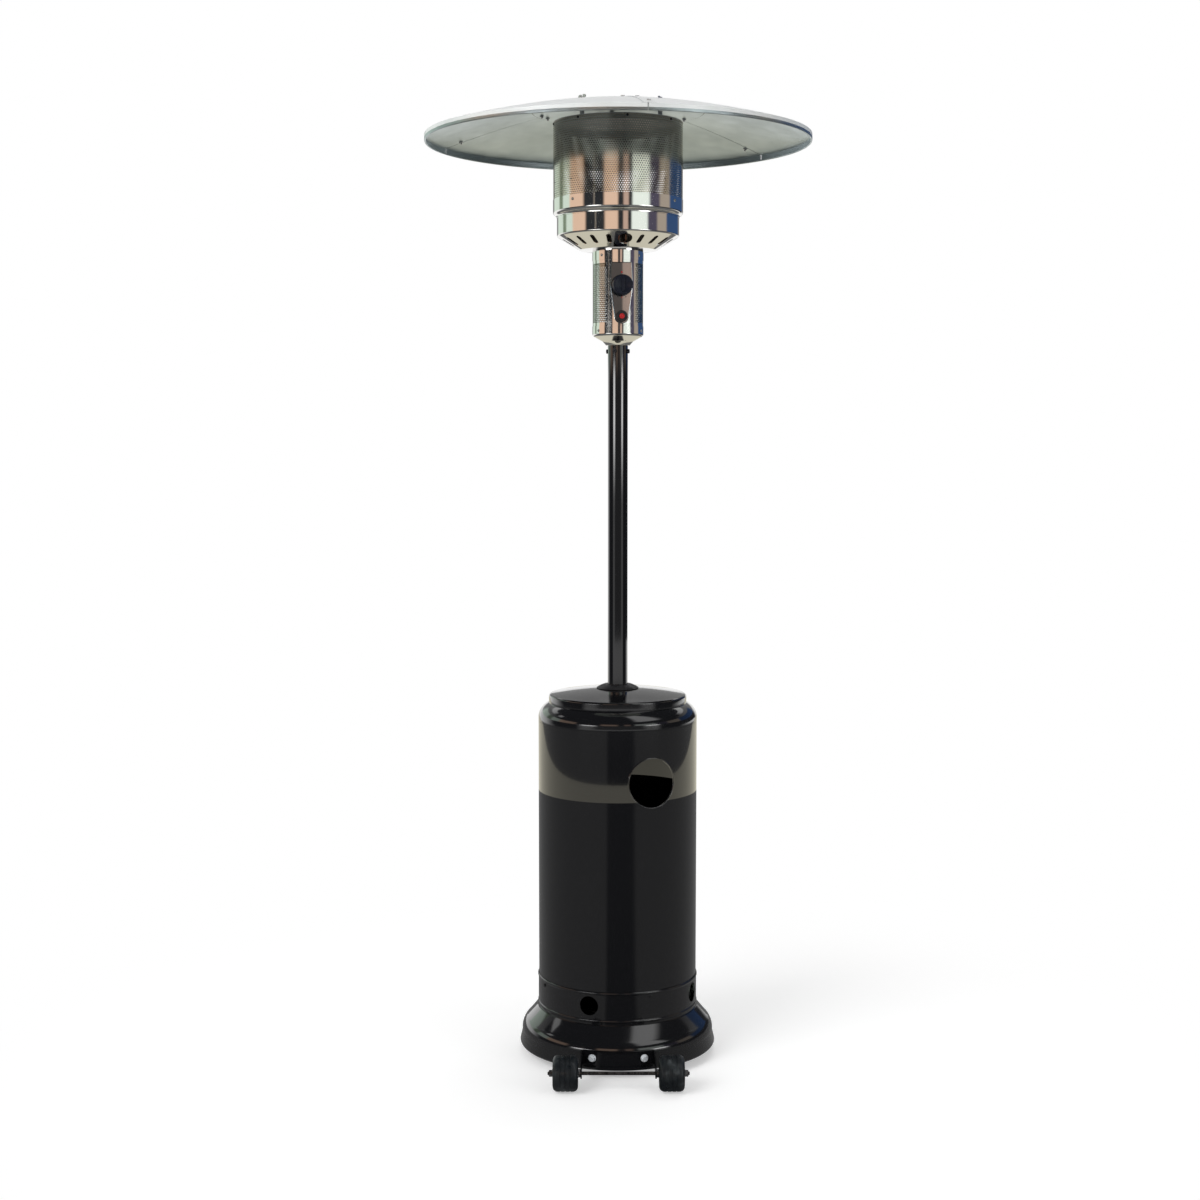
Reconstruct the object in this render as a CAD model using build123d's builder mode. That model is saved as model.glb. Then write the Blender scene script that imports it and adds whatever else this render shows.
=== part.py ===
from build123d import *
import os
from math import cos, degrees, hypot, radians, sin, sqrt

# Full-height gas patio heater: a burner head under a round reflector, on a pole, with a
# lift-off cylinder housing round the pole's foot and a pair of wheels on the base.
# Frame: origin on the floor under the pole's axis, +Z up, -Y the wheel side (front), +X right.
# A bearing is an angle about +Z from +X, so the front is at -90 degrees.

os.makedirs("parts", exist_ok=True)

# ---------------------------------------------------------------- driving dimensions, mm
# sheets and clearances
steel = 1.2               # painted sheet of the base and the housing
stainless = 0.8           # sheet of the burner head
aluminium = 0.8           # sheet of the reflector
nest_gap = 0.1            # room between fixed sheets that lie one in the other
seat_gap = 0.3            # room between bodies where one rests on or passes the other
slide_gap = 0.5           # radial room of a part that slides along another
running_gap = 0.05        # radial room of a shaft in its bore
hole_gap = 0.2            # radial room of a fastener or pipe in its hole

# feet and base
foot_height = 19.0
foot_radius = 17.0
foot_inset = 38.4         # from the rim in to the feet's circle
foot_bearings = (-128, -52, 52, 128)
skirt_height = 91.0       # from the rim up to the ledge that carries the housing
skirt_flare = 44.4        # how far the rim stands out from the barrel
hem_radius = 7.0
waist_height = 30.0       # waist above the rim
waist_inset = 5.5         # waist inside the rim
deck_rise = 12.0          # deck above the ledge
seat_press = 2.0          # cylinder's seat pressed up out of the deck

# wheels and their bracket
wheel_radius = 39.5
wheel_width = 57.9
wheel_lift = 1.0          # wheels clear the floor while the heater stands upright
wheel_reach = 71.6        # axle in front of the rim
hub_radius = 24.0
axle_radius = 4.0
bracket_width = 168.0
bracket_height = 33.0
bracket_plate = 3.0
bolt_spacing = 117.0
spacer_length = 4.0
axle_nut_length = 7.0

# cylinder housing
barrel_radius = 184.0
barrel_height = 595.0     # free height between the vent ring and the shoulder
ring_height = 76.0        # vent ring, of which the barrel stands in the top part
ring_lap = 20.0
vent_radius = 22.0
vent_height = 43.0        # vent holes above the ring's lower edge
vent_bearings = (-111, -21, 69, 159)
window_radius = 55.0      # round opening that gives reach to the cylinder's valve
window_bearing = -65.0
window_drop = 119.0       # window's centre below the barrel's top edge
shoulder_height = 42.0
shoulder_roll = 24.0      # how far the shoulder rolls in
shoulder_fall = 30.0      # height of that roll
shoulder_round = 48.0     # its radius
lid_inset = 24.3          # lid's wall inside the barrel's
lid_height = 20.0
lid_crown = 14.0          # rise from the lid's edge to its middle
lid_hole = 31.0

# support legs and pole
leg_width = 30.0
leg_thickness = 4.0
leg_clearance = 11.0      # between the barrel's inside and the legs
leg_drop = 47.0           # leg tops below the lid's edge
leg_neck = 95.0           # height over which the legs lean in to the flange
leg_bearings = (90, -30, -150)
leg_foot = 34.0
leg_bend = 14.0           # bend radius on the outer face
flange_radius = 72.0
flange_plate = 5.0
socket_height = 36.0
socket_wall = 3.0
pole_radius = 23.0
pole_wall = 1.5
pole_length = 844.0

# burner head: control housing
head_turn = 7.5           # control panel to the right of the wheels, degrees
control_radius = 57.5
cup_height = 43.0
neck_radius = 28.0
plug_depth = 30.0         # neck sleeve inside the pole
control_height = 147.0    # perforated wall that shows between cup and collar
collar_height = 25.0
cup_lap = 17.0
collar_lap = 15.0

# control panel, gas valve, knob and igniter
panel_stand = 4.0         # panel face in front of the control housing
panel_sheet = 1.0
panel_top_half = 23.5
panel_knob_half = 26.0
panel_round = 16.5
panel_head = 52.0         # panel's top above the knob
knob_height = 132.0       # knob axis above the foot of the neck
igniter_drop = 69.0       # igniter axis below the knob axis
knob_radius = 24.0
knob_length = 24.0
knob_travel = 3.0
valve_half = 15.0
valve_back = 12.0         # valve body behind the head's axis
plug_radius = 7.0
plug_length = 25.0
spindle_radius = 4.0
nose_radius = 6.8
bezel_radius = 13.3
igniter_radius = 9.0
igniter_length = 46.0
button_radius = 6.0
button_travel = 4.0

# gas lines inside the head
pipe_radius = 5.0
nipple_radius = 6.0
line_bend = 10.0
line_depth = 30.0         # lines rise at this distance in front of the axis
pilot_depth = 98.0        # pilot group in front of the axis
pilot_side = -12.0
thermocouple_side = 4.0
lead_side = 20.0
line_radius = 2.0

# burner dish, emitter and reflector
dish_radius = 139.0
dish_flat = 30.0          # flat bottom beyond the control housing
dish_cone_height = 31.0
dish_band_height = 48.0
slot_count = 20
slot_length = 25.0
slot_width = 8.5
lighting_hole = 16.0
venturi_radius = 14.0
venturi_wall = 1.5
burner_radius = 50.0
burner_height = 46.0
screen_radius = 147.0
screen_height = 199.5
ring_face = 27.0          # upright face of the flange ring
cap_lip = 12.0
stud_height = 38.0
stud_radius = 3.0
stud_inset = 45.0         # studs inside the screen
reflector_radius = 438.0
reflector_rise = 76.0
reflector_crown = 2400.0  # radius of curvature of a panel from rim to hub
hub_hole = 60.0
hub_plate_radius = 195.0
rim_lip = 12.5
rim_bead = 2.0
lap_width = 2.4           # seam lap, degrees
seam_screw_share = 0.9    # along the reflector's radius
hub_screw_inset = 12.0    # screws at the hub plate's edge, a pair beside each seam
hub_screw_spread = 5.0    # degrees from the seam


# ---------------------------------------------------------------- shared helpers
def outward(bearing):
    """Unit vector that leads away from the pole's axis."""
    return Vector(cos(radians(bearing)), sin(radians(bearing)), 0)


def radial(bearing, sideways=0.0):
    """Upright plane along a bearing: x leads outward, y up. Sideways is to the right from outside."""
    normal = outward(bearing - 90)
    return Plane(origin=normal * -sideways, x_dir=outward(bearing), z_dir=normal)


def facing(bearing, distance, height=0.0):
    """Upright plane across a bearing: x to the right as seen from outside, y up, z outward."""
    origin = outward(bearing) * distance + Vector(0, 0, height)
    return Plane(origin=origin, x_dir=outward(bearing + 90), z_dir=outward(bearing))


def level(bearing, distance, height, up=1):
    """Horizontal plane at a bearing and distance from the axis, looking up or down."""
    origin = outward(bearing) * distance + Vector(0, 0, height)
    return Plane(origin=origin, x_dir=outward(bearing), z_dir=(0, 0, up))


def finish(piece, name):
    """Label a finished piece and write its file."""
    piece.part.label = name
    export_step(piece.part, f"parts/{name}.step")


def screws(name, seats, shank, length, head, height, grips=None, hexagon=False):
    """A set of equal screws: each head stands on its seat plane and the shank runs down from it.

    A grip, the thickness that a screw clamps, adds a hexagon nut under it.
    """
    with BuildPart() as group:
        for seat in seats:
            with BuildSketch(seat):
                if hexagon:
                    RegularPolygon(head, 6)
                else:
                    Circle(head)
            extrude(amount=height)
            with BuildSketch(seat):
                Circle(shank)
            extrude(amount=-length)
        for seat, grip in zip(seats, grips or []):
            with BuildSketch(seat.offset(-grip)):
                RegularPolygon(head, 6)
                Circle(shank + nest_gap, mode=Mode.SUBTRACT)
            extrude(amount=-height)
    finish(group, name)


# ---------------------------------------------------------------- heights and radii that follow
rim_z = foot_height
ledge_z = rim_z + skirt_height
deck_z = ledge_z + deck_rise
ring_z = ledge_z + seat_gap
barrel_z = ring_z + ring_height - ring_lap
barrel_top = ring_z + ring_height + barrel_height
shoulder_top = barrel_top + shoulder_height
lid_edge = shoulder_top + lid_height
lid_middle = lid_edge + lid_crown
leg_top = lid_edge - leg_drop
pole_z = leg_top + flange_plate
pole_top = pole_z + pole_length

barrel_inside = barrel_radius - steel
ring_inside = barrel_radius + nest_gap
ring_radius = ring_inside + steel
drum_radius = ring_inside - slide_gap
ledge_radius = ring_radius + 2.4
rim_radius = barrel_radius + skirt_flare
foot_circle = rim_radius - foot_inset
leg_radius = barrel_inside - leg_clearance
lid_radius = barrel_radius - lid_inset

front = -90 + head_turn
cup_top = pole_top + cup_height
collar_z = cup_top + control_height
collar_top = collar_z + collar_height
knob_z = pole_top + knob_height
igniter_z = knob_z - igniter_drop
shell_inside = control_radius - stainless
cup_radius = control_radius + nest_gap + stainless
panel_face = control_radius + panel_stand

# ---------------------------------------------------------------- base
# One spun steel shell: inturned rim, rolled hem, waist, rounded flare, the ledge that carries
# the housing, and the deck with a round seat pressed up in it for the gas cylinder.
flange_inner = foot_circle - foot_radius - 4
bracket_z = rim_z + waist_height
bolt_bearing = degrees(bolt_spacing / 2 / rim_radius)
bolt_bearings = (-90 - bolt_bearing, -90 + bolt_bearing)
bracket_bolt_radius = 4.0
foot_screw_radius = 3.0
leg_bolt_radius = 3.0
leg_bolt_head = 6.0
leg_bolt_circle = leg_radius - leg_bend - leg_bolt_head - 1
seat_edge = leg_radius - leg_foot - 5

with BuildPart() as base_skirt:
    with BuildSketch(Plane.XZ):
        with BuildLine():
            hem = (rim_radius, rim_z + hem_radius)
            waist = (rim_radius - waist_inset, rim_z + waist_height)
            crest = (rim_radius - waist_inset - 0.4, rim_z + waist_height + 13)
            brow = (rim_radius - 18.4, rim_z + skirt_height - 27)
            Line((flange_inner, rim_z), (rim_radius - hem_radius, rim_z))
            RadiusArc((rim_radius - hem_radius, rim_z), hem, -hem_radius)
            Line(hem, waist)
            ThreePointArc(waist, crest, brow)
            Polyline(
                brow,
                (ledge_radius, ledge_z),
                (drum_radius, ledge_z),
                (drum_radius, deck_z),
                (seat_edge, deck_z),
                (seat_edge - 1.5 * seat_press, deck_z + seat_press),
                (0, deck_z + seat_press),
            )
            offset(amount=steel, side=Side.LEFT)
        make_face()
    revolve(axis=Axis.Z)
    with BuildSketch(Plane.XY.offset(rim_z)):
        for bearing in foot_bearings:
            with Locations(outward(bearing) * foot_circle):
                Circle(foot_screw_radius + hole_gap)
    extrude(amount=steel, mode=Mode.SUBTRACT)
    with BuildSketch(Plane.XY.offset(deck_z)):
        for bearing in leg_bearings:
            with Locations(outward(bearing) * leg_bolt_circle):
                Circle(leg_bolt_radius + hole_gap)
    extrude(amount=-steel, mode=Mode.SUBTRACT)
    for bearing in bolt_bearings:
        with BuildSketch(facing(bearing, rim_radius, bracket_z)):
            Circle(bracket_bolt_radius + hole_gap)
        extrude(amount=-3 * hem_radius, mode=Mode.SUBTRACT)
finish(base_skirt, "base_skirt")

# Four rubber feet under the inturned rim, each with a screw in its recess.
foot_recess = 8.0
with BuildPart() as rubber_feet:
    for bearing in foot_bearings:
        with BuildSketch(level(bearing, foot_circle, foot_height, up=-1)):
            Circle(foot_radius)
            Circle(foot_screw_radius + hole_gap, mode=Mode.SUBTRACT)
        extrude(amount=foot_height, taper=4)
        with BuildSketch(level(bearing, foot_circle, 0)):
            Circle(foot_radius / 2)
        extrude(amount=foot_recess, mode=Mode.SUBTRACT)
finish(rubber_feet, "rubber_feet")
screws(
    "foot_screws",
    [level(bearing, foot_circle, foot_recess, up=-1) for bearing in foot_bearings],
    shank=foot_screw_radius,
    length=foot_height - foot_recess + steel + 5,
    head=foot_radius / 2 - 2,
    height=foot_recess / 2,
)

# ---------------------------------------------------------------- wheels
# A bent steel bracket follows the rim, bolted through the waist, and its ears carry the axle.
bracket_inside = rim_radius + nest_gap
bracket_half = bracket_width / 2
axle_y = -(rim_radius + wheel_reach)
axle_z = wheel_lift + wheel_radius
ear_root = sqrt(bracket_inside**2 - (bracket_half - bracket_plate) ** 2)
ear_eye = axle_radius + 8

with BuildPart() as wheel_bracket:
    with BuildSketch(Plane.XY.offset(bracket_z - bracket_height / 2)):
        Circle(bracket_inside + bracket_plate)
        Circle(bracket_inside, mode=Mode.SUBTRACT)
        with Locations((0, -bracket_inside)):
            Rectangle(bracket_width, bracket_inside, mode=Mode.INTERSECT)
    extrude(amount=bracket_height)
    with BuildSketch(Plane.YZ.offset(bracket_half - bracket_plate)):
        with Locations((-ear_root - bracket_plate, bracket_z)):
            Rectangle(2 * bracket_plate, bracket_height)
        with Locations((axle_y, axle_z)):
            Circle(ear_eye)
        make_hull()
        with Locations((axle_y, axle_z)):
            Circle(axle_radius + hole_gap, mode=Mode.SUBTRACT)
    extrude(amount=bracket_plate)
    mirror(about=Plane.YZ)
    for bearing in bolt_bearings:
        with BuildSketch(facing(bearing, 0, bracket_z)):
            Circle(bracket_bolt_radius + hole_gap)
        extrude(amount=bracket_inside + 2 * bracket_plate, mode=Mode.SUBTRACT)
finish(wheel_bracket, "wheel_bracket")

bracket_grip = bracket_inside + bracket_plate - (rim_radius - waist_inset - steel - 0.4)
screws(
    "bracket_bolts",
    [facing(bearing, bracket_inside + bracket_plate, bracket_z) for bearing in bolt_bearings],
    shank=bracket_bolt_radius,
    length=bracket_grip + 8,
    head=7.0,
    height=5.5,
    grips=[bracket_grip, bracket_grip],
    hexagon=True,
)

# Axle rod with a spacer inside each wheel and a nut outside it.
wheel_inner = bracket_half + spacer_length + seat_gap
wheel_outer = wheel_inner + wheel_width
nut_x = wheel_outer + seat_gap
axle_half = nut_x + axle_nut_length + 3
axle_line = Plane(origin=(0, axle_y, axle_z), x_dir=(0, 1, 0), z_dir=(1, 0, 0))

with BuildPart() as wheel_axle:
    with BuildSketch(axle_line.offset(-axle_half)):
        Circle(axle_radius)
    extrude(amount=2 * axle_half)
    chamfer(wheel_axle.edges().filter_by(GeomType.CIRCLE), length=0.8)
finish(wheel_axle, "wheel_axle")

with BuildPart() as axle_spacers:
    with BuildSketch(axle_line.offset(bracket_half)):
        Circle(axle_radius + 5)
        Circle(axle_radius + nest_gap, mode=Mode.SUBTRACT)
    extrude(amount=spacer_length)
    mirror(about=Plane.YZ)
finish(axle_spacers, "axle_spacers")

with BuildPart() as axle_nuts:
    with BuildSketch(axle_line.offset(nut_x)):
        RegularPolygon(axle_radius + 3.5, 6)
        Circle(axle_radius + nest_gap, mode=Mode.SUBTRACT)
    extrude(amount=axle_nut_length)
    mirror(about=Plane.YZ)
finish(axle_nuts, "axle_nuts")

# Each wheel: a moulded hub with a dished face and a running bore, and a rounded tyre on it.
wheel_axis = Axis((0, axle_y, axle_z), (1, 0, 0))
wheel_middle = (wheel_inner + wheel_outer) / 2
tyre_round = wheel_radius / 4

for side, name in ((-1, "left"), (1, "right")):
    disc_plane = Plane(origin=(side * wheel_middle, axle_y, axle_z), x_dir=(1, 0, 0), z_dir=(0, -1, 0))
    with BuildPart() as wheel_hub:
        with BuildSketch(disc_plane):
            bore = axle_radius + running_gap
            with Locations((0, (hub_radius + bore) / 2)):
                Rectangle(wheel_width - 6, hub_radius - bore)
            with Locations((0, axle_radius + 3 + bore / 2)):
                Rectangle(wheel_width, 6 - bore)
            with Locations((wheel_width / 2 - 5, hub_radius - 8), (5 - wheel_width / 2, hub_radius - 8)):
                Rectangle(12, 8, mode=Mode.SUBTRACT)
        revolve(axis=wheel_axis)
    finish(wheel_hub, f"{name}_wheel_hub")
    with BuildPart() as wheel_tyre:
        with BuildSketch(disc_plane) as section:
            with Locations((0, (wheel_radius + hub_radius + nest_gap) / 2)):
                Rectangle(wheel_width - 2, wheel_radius - hub_radius - nest_gap)
            fillet(section.vertices().group_by(Axis.Y)[-1], tyre_round)
        revolve(axis=wheel_axis)
    finish(wheel_tyre, f"{name}_wheel_tyre")

# ---------------------------------------------------------------- support legs and pole
# Three flat steel legs stand on the deck, clear of the cylinder, and lean in to the pole's flange.
flange_seat_circle = flange_radius - 14
leg_inner = flange_seat_circle - 20

for number, bearing in enumerate(leg_bearings, start=1):
    with BuildPart() as support_leg:
        with BuildSketch(radial(bearing)):
            with BuildLine():
                FilletPolyline(
                    (leg_radius - leg_foot, deck_z),
                    (leg_radius, deck_z),
                    (leg_radius, leg_top - leg_neck),
                    (flange_radius + 4, leg_top),
                    (leg_inner, leg_top),
                    radius=leg_bend,
                )
                offset(amount=leg_thickness, side=Side.LEFT)
            make_face()
        extrude(amount=leg_width / 2, both=True)
        for distance in (leg_bolt_circle, flange_seat_circle):
            with BuildSketch(level(bearing, distance, 0)):
                Circle(leg_bolt_radius + hole_gap)
            extrude(amount=leg_top, mode=Mode.SUBTRACT)
    finish(support_leg, f"support_leg_{number}")

# Round flange with a socket tube for the pole.
with BuildPart() as pole_flange:
    with BuildSketch(Plane.XY.offset(leg_top)):
        Circle(flange_radius)
        Circle(pole_radius - pole_wall, mode=Mode.SUBTRACT)
        for bearing in leg_bearings:
            with Locations(outward(bearing) * flange_seat_circle):
                Circle(leg_bolt_radius + hole_gap, mode=Mode.SUBTRACT)
    extrude(amount=flange_plate)
    with BuildSketch(Plane.XY.offset(pole_z)):
        Circle(pole_radius + nest_gap + socket_wall)
        Circle(pole_radius + nest_gap, mode=Mode.SUBTRACT)
    extrude(amount=socket_height)
    for bearing in leg_bearings:
        with BuildSketch(facing(bearing + 60, 0, pole_z + socket_height / 2)):
            Circle(leg_bolt_radius + hole_gap)
        extrude(amount=2 * pole_radius, mode=Mode.SUBTRACT)
finish(pole_flange, "pole_flange")

leg_bolt_seats = [level(bearing, leg_bolt_circle, deck_z + leg_thickness) for bearing in leg_bearings]
leg_bolt_seats += [level(bearing, flange_seat_circle, pole_z) for bearing in leg_bearings]
screws(
    "leg_bolts",
    leg_bolt_seats,
    shank=leg_bolt_radius,
    length=flange_plate + leg_thickness + 7,
    head=leg_bolt_head,
    height=4.0,
    grips=3 * [leg_thickness + steel] + 3 * [flange_plate + leg_thickness],
    hexagon=True,
)

# Painted steel tube; the gas hose would run up inside it.
head_bolt_z = pole_top - 13
head_bolt_bearings = [-108 + 90 * k for k in range(4)]
socket_bolt_z = pole_z + socket_height / 2
with BuildPart() as pole:
    with BuildSketch(Plane.XY.offset(pole_z)):
        Circle(pole_radius)
        Circle(pole_radius - pole_wall, mode=Mode.SUBTRACT)
    extrude(amount=pole_length)
    for bearing in head_bolt_bearings:
        with BuildSketch(facing(bearing, 0, head_bolt_z)):
            Circle(leg_bolt_radius + hole_gap)
        extrude(amount=2 * pole_radius, mode=Mode.SUBTRACT)
    for bearing in leg_bearings:
        with BuildSketch(facing(bearing + 60, 0, socket_bolt_z)):
            Circle(leg_bolt_radius + hole_gap)
        extrude(amount=2 * pole_radius, mode=Mode.SUBTRACT)
finish(pole, "pole")
pole_bolt_seats = [
    facing(bearing + 60, pole_radius + nest_gap + socket_wall, socket_bolt_z) for bearing in leg_bearings
]
pole_bolt_seats += [facing(bearing, pole_radius, head_bolt_z) for bearing in head_bolt_bearings]
screws(
    "pole_bolts",
    pole_bolt_seats,
    shank=leg_bolt_radius,
    length=socket_wall + pole_wall + 3,
    head=5.0,
    height=4.0,
)

# ---------------------------------------------------------------- cylinder housing, lifts off upwards
# Vent ring with a bead at both edges and four air holes; it sits on the ledge round the deck. Its
# screws hold the barrel's foot between the air holes, which go through both sheets.
bead = 1.4
bead_height = 7.0
screw_radius = 2.0
screw_head = 4.0
ring_screw_z = ring_z + ring_height - bead_height - screw_head - 3
ring_screw_bearings = [bearing + 45 for bearing in vent_bearings]

with BuildPart() as vent_ring:
    with BuildSketch(Plane.XZ):
        with BuildLine():
            low = ring_z + 5
            high = ring_z + ring_height - bead_height
            Line((ring_radius, ring_z), (ring_radius, low))
            ThreePointArc(
                (ring_radius, low),
                (ring_radius + bead, low + bead_height / 2),
                (ring_radius, low + bead_height),
            )
            Line((ring_radius, low + bead_height), (ring_radius, high))
            ThreePointArc(
                (ring_radius, high),
                (ring_radius + bead, high + bead_height / 2),
                (ring_radius, high + bead_height),
            )
            offset(amount=steel, side=Side.LEFT)
        make_face()
    revolve(axis=Axis.Z)
    for bearing in vent_bearings:
        with BuildSketch(facing(bearing, 0, ring_z + vent_height)):
            Circle(vent_radius)
        extrude(amount=ring_radius + 2 * bead, mode=Mode.SUBTRACT)
    for bearing in ring_screw_bearings:
        with BuildSketch(facing(bearing, 0, ring_screw_z)):
            Circle(screw_radius + hole_gap)
        extrude(amount=ring_radius + 2 * bead, mode=Mode.SUBTRACT)
finish(vent_ring, "vent_ring")

# Pressed rim round the window, wrapped on the barrel.
window_z = barrel_top - window_drop
window_rim = 4.0
with BuildPart() as window_frame:
    with BuildSketch(facing(window_bearing, 0, window_z)):
        Circle(window_radius + window_rim)
        Circle(window_radius, mode=Mode.SUBTRACT)
    extrude(amount=barrel_radius + 20)
    with BuildSketch(Plane.XY.offset(window_z - 2 * window_radius)):
        Circle(barrel_radius + 1.5)
        Circle(barrel_inside, mode=Mode.SUBTRACT)
    extrude(amount=4 * window_radius, mode=Mode.INTERSECT)

with BuildPart() as barrel:
    with BuildSketch(Plane.XY.offset(barrel_z)):
        Circle(barrel_radius)
        Circle(barrel_inside, mode=Mode.SUBTRACT)
    extrude(amount=barrel_top - barrel_z)
    with BuildSketch(facing(window_bearing, 0, window_z)):
        Circle(window_radius)
    extrude(amount=2 * barrel_radius, mode=Mode.SUBTRACT)
    for bearing in vent_bearings:
        with BuildSketch(facing(bearing, 0, ring_z + vent_height)):
            Circle(vent_radius)
        extrude(amount=2 * barrel_radius, mode=Mode.SUBTRACT)
    for bearing in ring_screw_bearings:
        with BuildSketch(facing(bearing, 0, ring_screw_z)):
            Circle(screw_radius + hole_gap)
        extrude(amount=2 * barrel_radius, mode=Mode.SUBTRACT)
    add(window_frame.part)
finish(barrel, "barrel")
screws(
    "ring_screws",
    [facing(bearing, ring_radius, ring_screw_z) for bearing in ring_screw_bearings],
    shank=screw_radius,
    length=2 * steel + 5,
    head=screw_head,
    height=2.2,
)

# Shoulder: a spun ring that plugs into the barrel, stands flush on it and rolls in to the lid's seat.
shoulder_plug = 10.0
plug_outside = barrel_inside - nest_gap
lid_seat = lid_radius - 10
with BuildPart() as shoulder:
    with BuildSketch(Plane.XZ):
        with BuildLine():
            wall_end = (barrel_radius, shoulder_top - shoulder_fall)
            roll_end = (barrel_radius - shoulder_roll, shoulder_top)
            Polyline(
                (plug_outside, barrel_top - shoulder_plug),
                (plug_outside, barrel_top),
                (barrel_radius, barrel_top),
                wall_end,
            )
            RadiusArc(wall_end, roll_end, -shoulder_round)
            Line(roll_end, (lid_seat, shoulder_top))
            offset(amount=steel, side=Side.LEFT)
        make_face()
    revolve(axis=Axis.Z)
finish(shoulder, "shoulder")

# Lid: a shallow crowned pan upside down on the shoulder, with a hole for the pole's collar.
lid_round = 5.0
collar_flange = 49.0
brow_radius = lid_radius - lid_round
crown_radius = (brow_radius**2 + lid_crown**2) / (2 * lid_crown)
crown_centre = lid_middle - crown_radius
collar_seat_z = crown_centre + sqrt(crown_radius**2 - lid_hole**2)
with BuildPart() as lid:
    with BuildSketch(Plane.XZ):
        with BuildLine():
            lid_wall = (lid_radius, lid_edge - lid_round)
            lid_brow = (brow_radius, lid_edge)
            Line((lid_radius, shoulder_top), lid_wall)
            RadiusArc(lid_wall, lid_brow, -lid_round)
            RadiusArc(lid_brow, (lid_hole, collar_seat_z), -crown_radius)
            offset(amount=steel, side=Side.LEFT)
        make_face()
    revolve(axis=Axis.Z)
finish(lid, "lid")

# Plastic collar: a bell-shaped flange on the lid and a sleeve that guides the housing on the pole.
collar_bore = pole_radius + slide_gap
collar_sleeve = 7.0
collar_rise = 9.0
with BuildPart() as pole_collar:
    with BuildSketch(Plane.XZ):
        with BuildLine():
            Polyline(
                (collar_bore, collar_seat_z - collar_sleeve),
                (lid_hole - nest_gap, collar_seat_z - collar_sleeve),
                (lid_hole - nest_gap, collar_seat_z),
                (collar_flange, collar_seat_z),
            )
            ThreePointArc(
                (collar_flange, collar_seat_z),
                (collar_flange - 8, collar_seat_z + 0.6 * collar_rise),
                (pole_radius + 10, collar_seat_z + collar_rise),
            )
            Polyline(
                (pole_radius + 10, collar_seat_z + collar_rise),
                (collar_bore, collar_seat_z + collar_rise),
                (collar_bore, collar_seat_z - collar_sleeve),
            )
        make_face()
    revolve(axis=Axis.Z)
finish(pole_collar, "pole_collar")

# ---------------------------------------------------------------- burner head: control housing
# Neck cup: a sleeve that plugs into the pole, a seat on the pole's end, and a bowl up to the wall.
sleeve_radius = pole_radius - pole_wall - nest_gap
cup_screw_z = cup_top - 11
cup_screw_bearings = (front - 57, front + 57, front + 147, front - 147)
collar_screw_bearings = (front - 47, front + 47, front + 133, front - 133)
collar_screw_z = collar_z + 11
head_screw_radius = 1.5

with BuildPart() as neck_cup:
    with BuildSketch(Plane.XZ):
        with BuildLine():
            Polyline(
                (sleeve_radius, pole_top - plug_depth),
                (sleeve_radius, pole_top),
                (neck_radius, pole_top),
            )
            FilletPolyline(
                (neck_radius, pole_top),
                (neck_radius + 8, pole_top + 9),
                (cup_radius, pole_top + 21),
                (cup_radius, cup_top),
                radius=4,
            )
            offset(amount=stainless, side=Side.LEFT)
        make_face()
    revolve(axis=Axis.Z)
    for bearing in head_bolt_bearings:
        with BuildSketch(facing(bearing, 0, head_bolt_z)):
            Circle(leg_bolt_radius + hole_gap)
        extrude(amount=2 * pole_radius, mode=Mode.SUBTRACT)
    for bearing in cup_screw_bearings:
        with BuildSketch(facing(bearing, 0, cup_screw_z)):
            Circle(head_screw_radius + hole_gap)
        extrude(amount=2 * cup_radius, mode=Mode.SUBTRACT)
finish(neck_cup, "neck_cup")

# Control housing: a plain-ended tube, perforated between cup and collar, with the two panel openings.
with BuildPart() as control_housing:
    with BuildSketch(Plane.XY.offset(cup_top - cup_lap)):
        Circle(control_radius)
        Circle(shell_inside, mode=Mode.SUBTRACT)
    extrude(amount=control_height + cup_lap + collar_lap)
    for height, opening in ((knob_z, nose_radius + 2), (igniter_z, igniter_radius + 1)):
        with BuildSketch(facing(front, 0, height)):
            Circle(opening)
        extrude(amount=2 * control_radius, mode=Mode.SUBTRACT)
    for bearing in cup_screw_bearings:
        with BuildSketch(facing(bearing, 0, cup_screw_z)):
            Circle(head_screw_radius + hole_gap)
        extrude(amount=2 * cup_radius, mode=Mode.SUBTRACT)
    for bearing in collar_screw_bearings:
        with BuildSketch(facing(bearing, 0, collar_screw_z)):
            Circle(head_screw_radius + hole_gap)
        extrude(amount=2 * cup_radius, mode=Mode.SUBTRACT)
finish(control_housing, "control_housing")

with BuildPart() as control_collar:
    with BuildSketch(Plane.XY.offset(collar_z)):
        Circle(cup_radius)
        Circle(cup_radius - stainless, mode=Mode.SUBTRACT)
    extrude(amount=collar_height)
    for bearing in collar_screw_bearings:
        with BuildSketch(facing(bearing, 0, collar_screw_z)):
            Circle(head_screw_radius + hole_gap)
        extrude(amount=2 * cup_radius, mode=Mode.SUBTRACT)
finish(control_collar, "control_collar")

head_screw_seats = [facing(bearing, cup_radius, cup_screw_z) for bearing in cup_screw_bearings]
head_screw_seats += [facing(bearing, cup_radius, collar_screw_z) for bearing in collar_screw_bearings]
screws("head_screws", head_screw_seats, shank=head_screw_radius, length=5, head=3.0, height=1.6)

# ---------------------------------------------------------------- control panel
# Pressed plate, broad round the knob and narrowing to the igniter; its rim hugs the round housing.
def panel_outline(inset):
    """Outline of the control panel, moved in by a distance."""
    with BuildSketch(Plane.XY) as outline:
        with Locations((0, knob_z + panel_head / 2 - inset)):
            Rectangle(2 * (panel_top_half - inset), panel_head)
        with Locations((0, knob_z)):
            Circle(panel_knob_half - inset)
        with Locations((0, igniter_z)):
            Circle(panel_round - inset)
        make_hull()
    return outline.sketch


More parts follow.
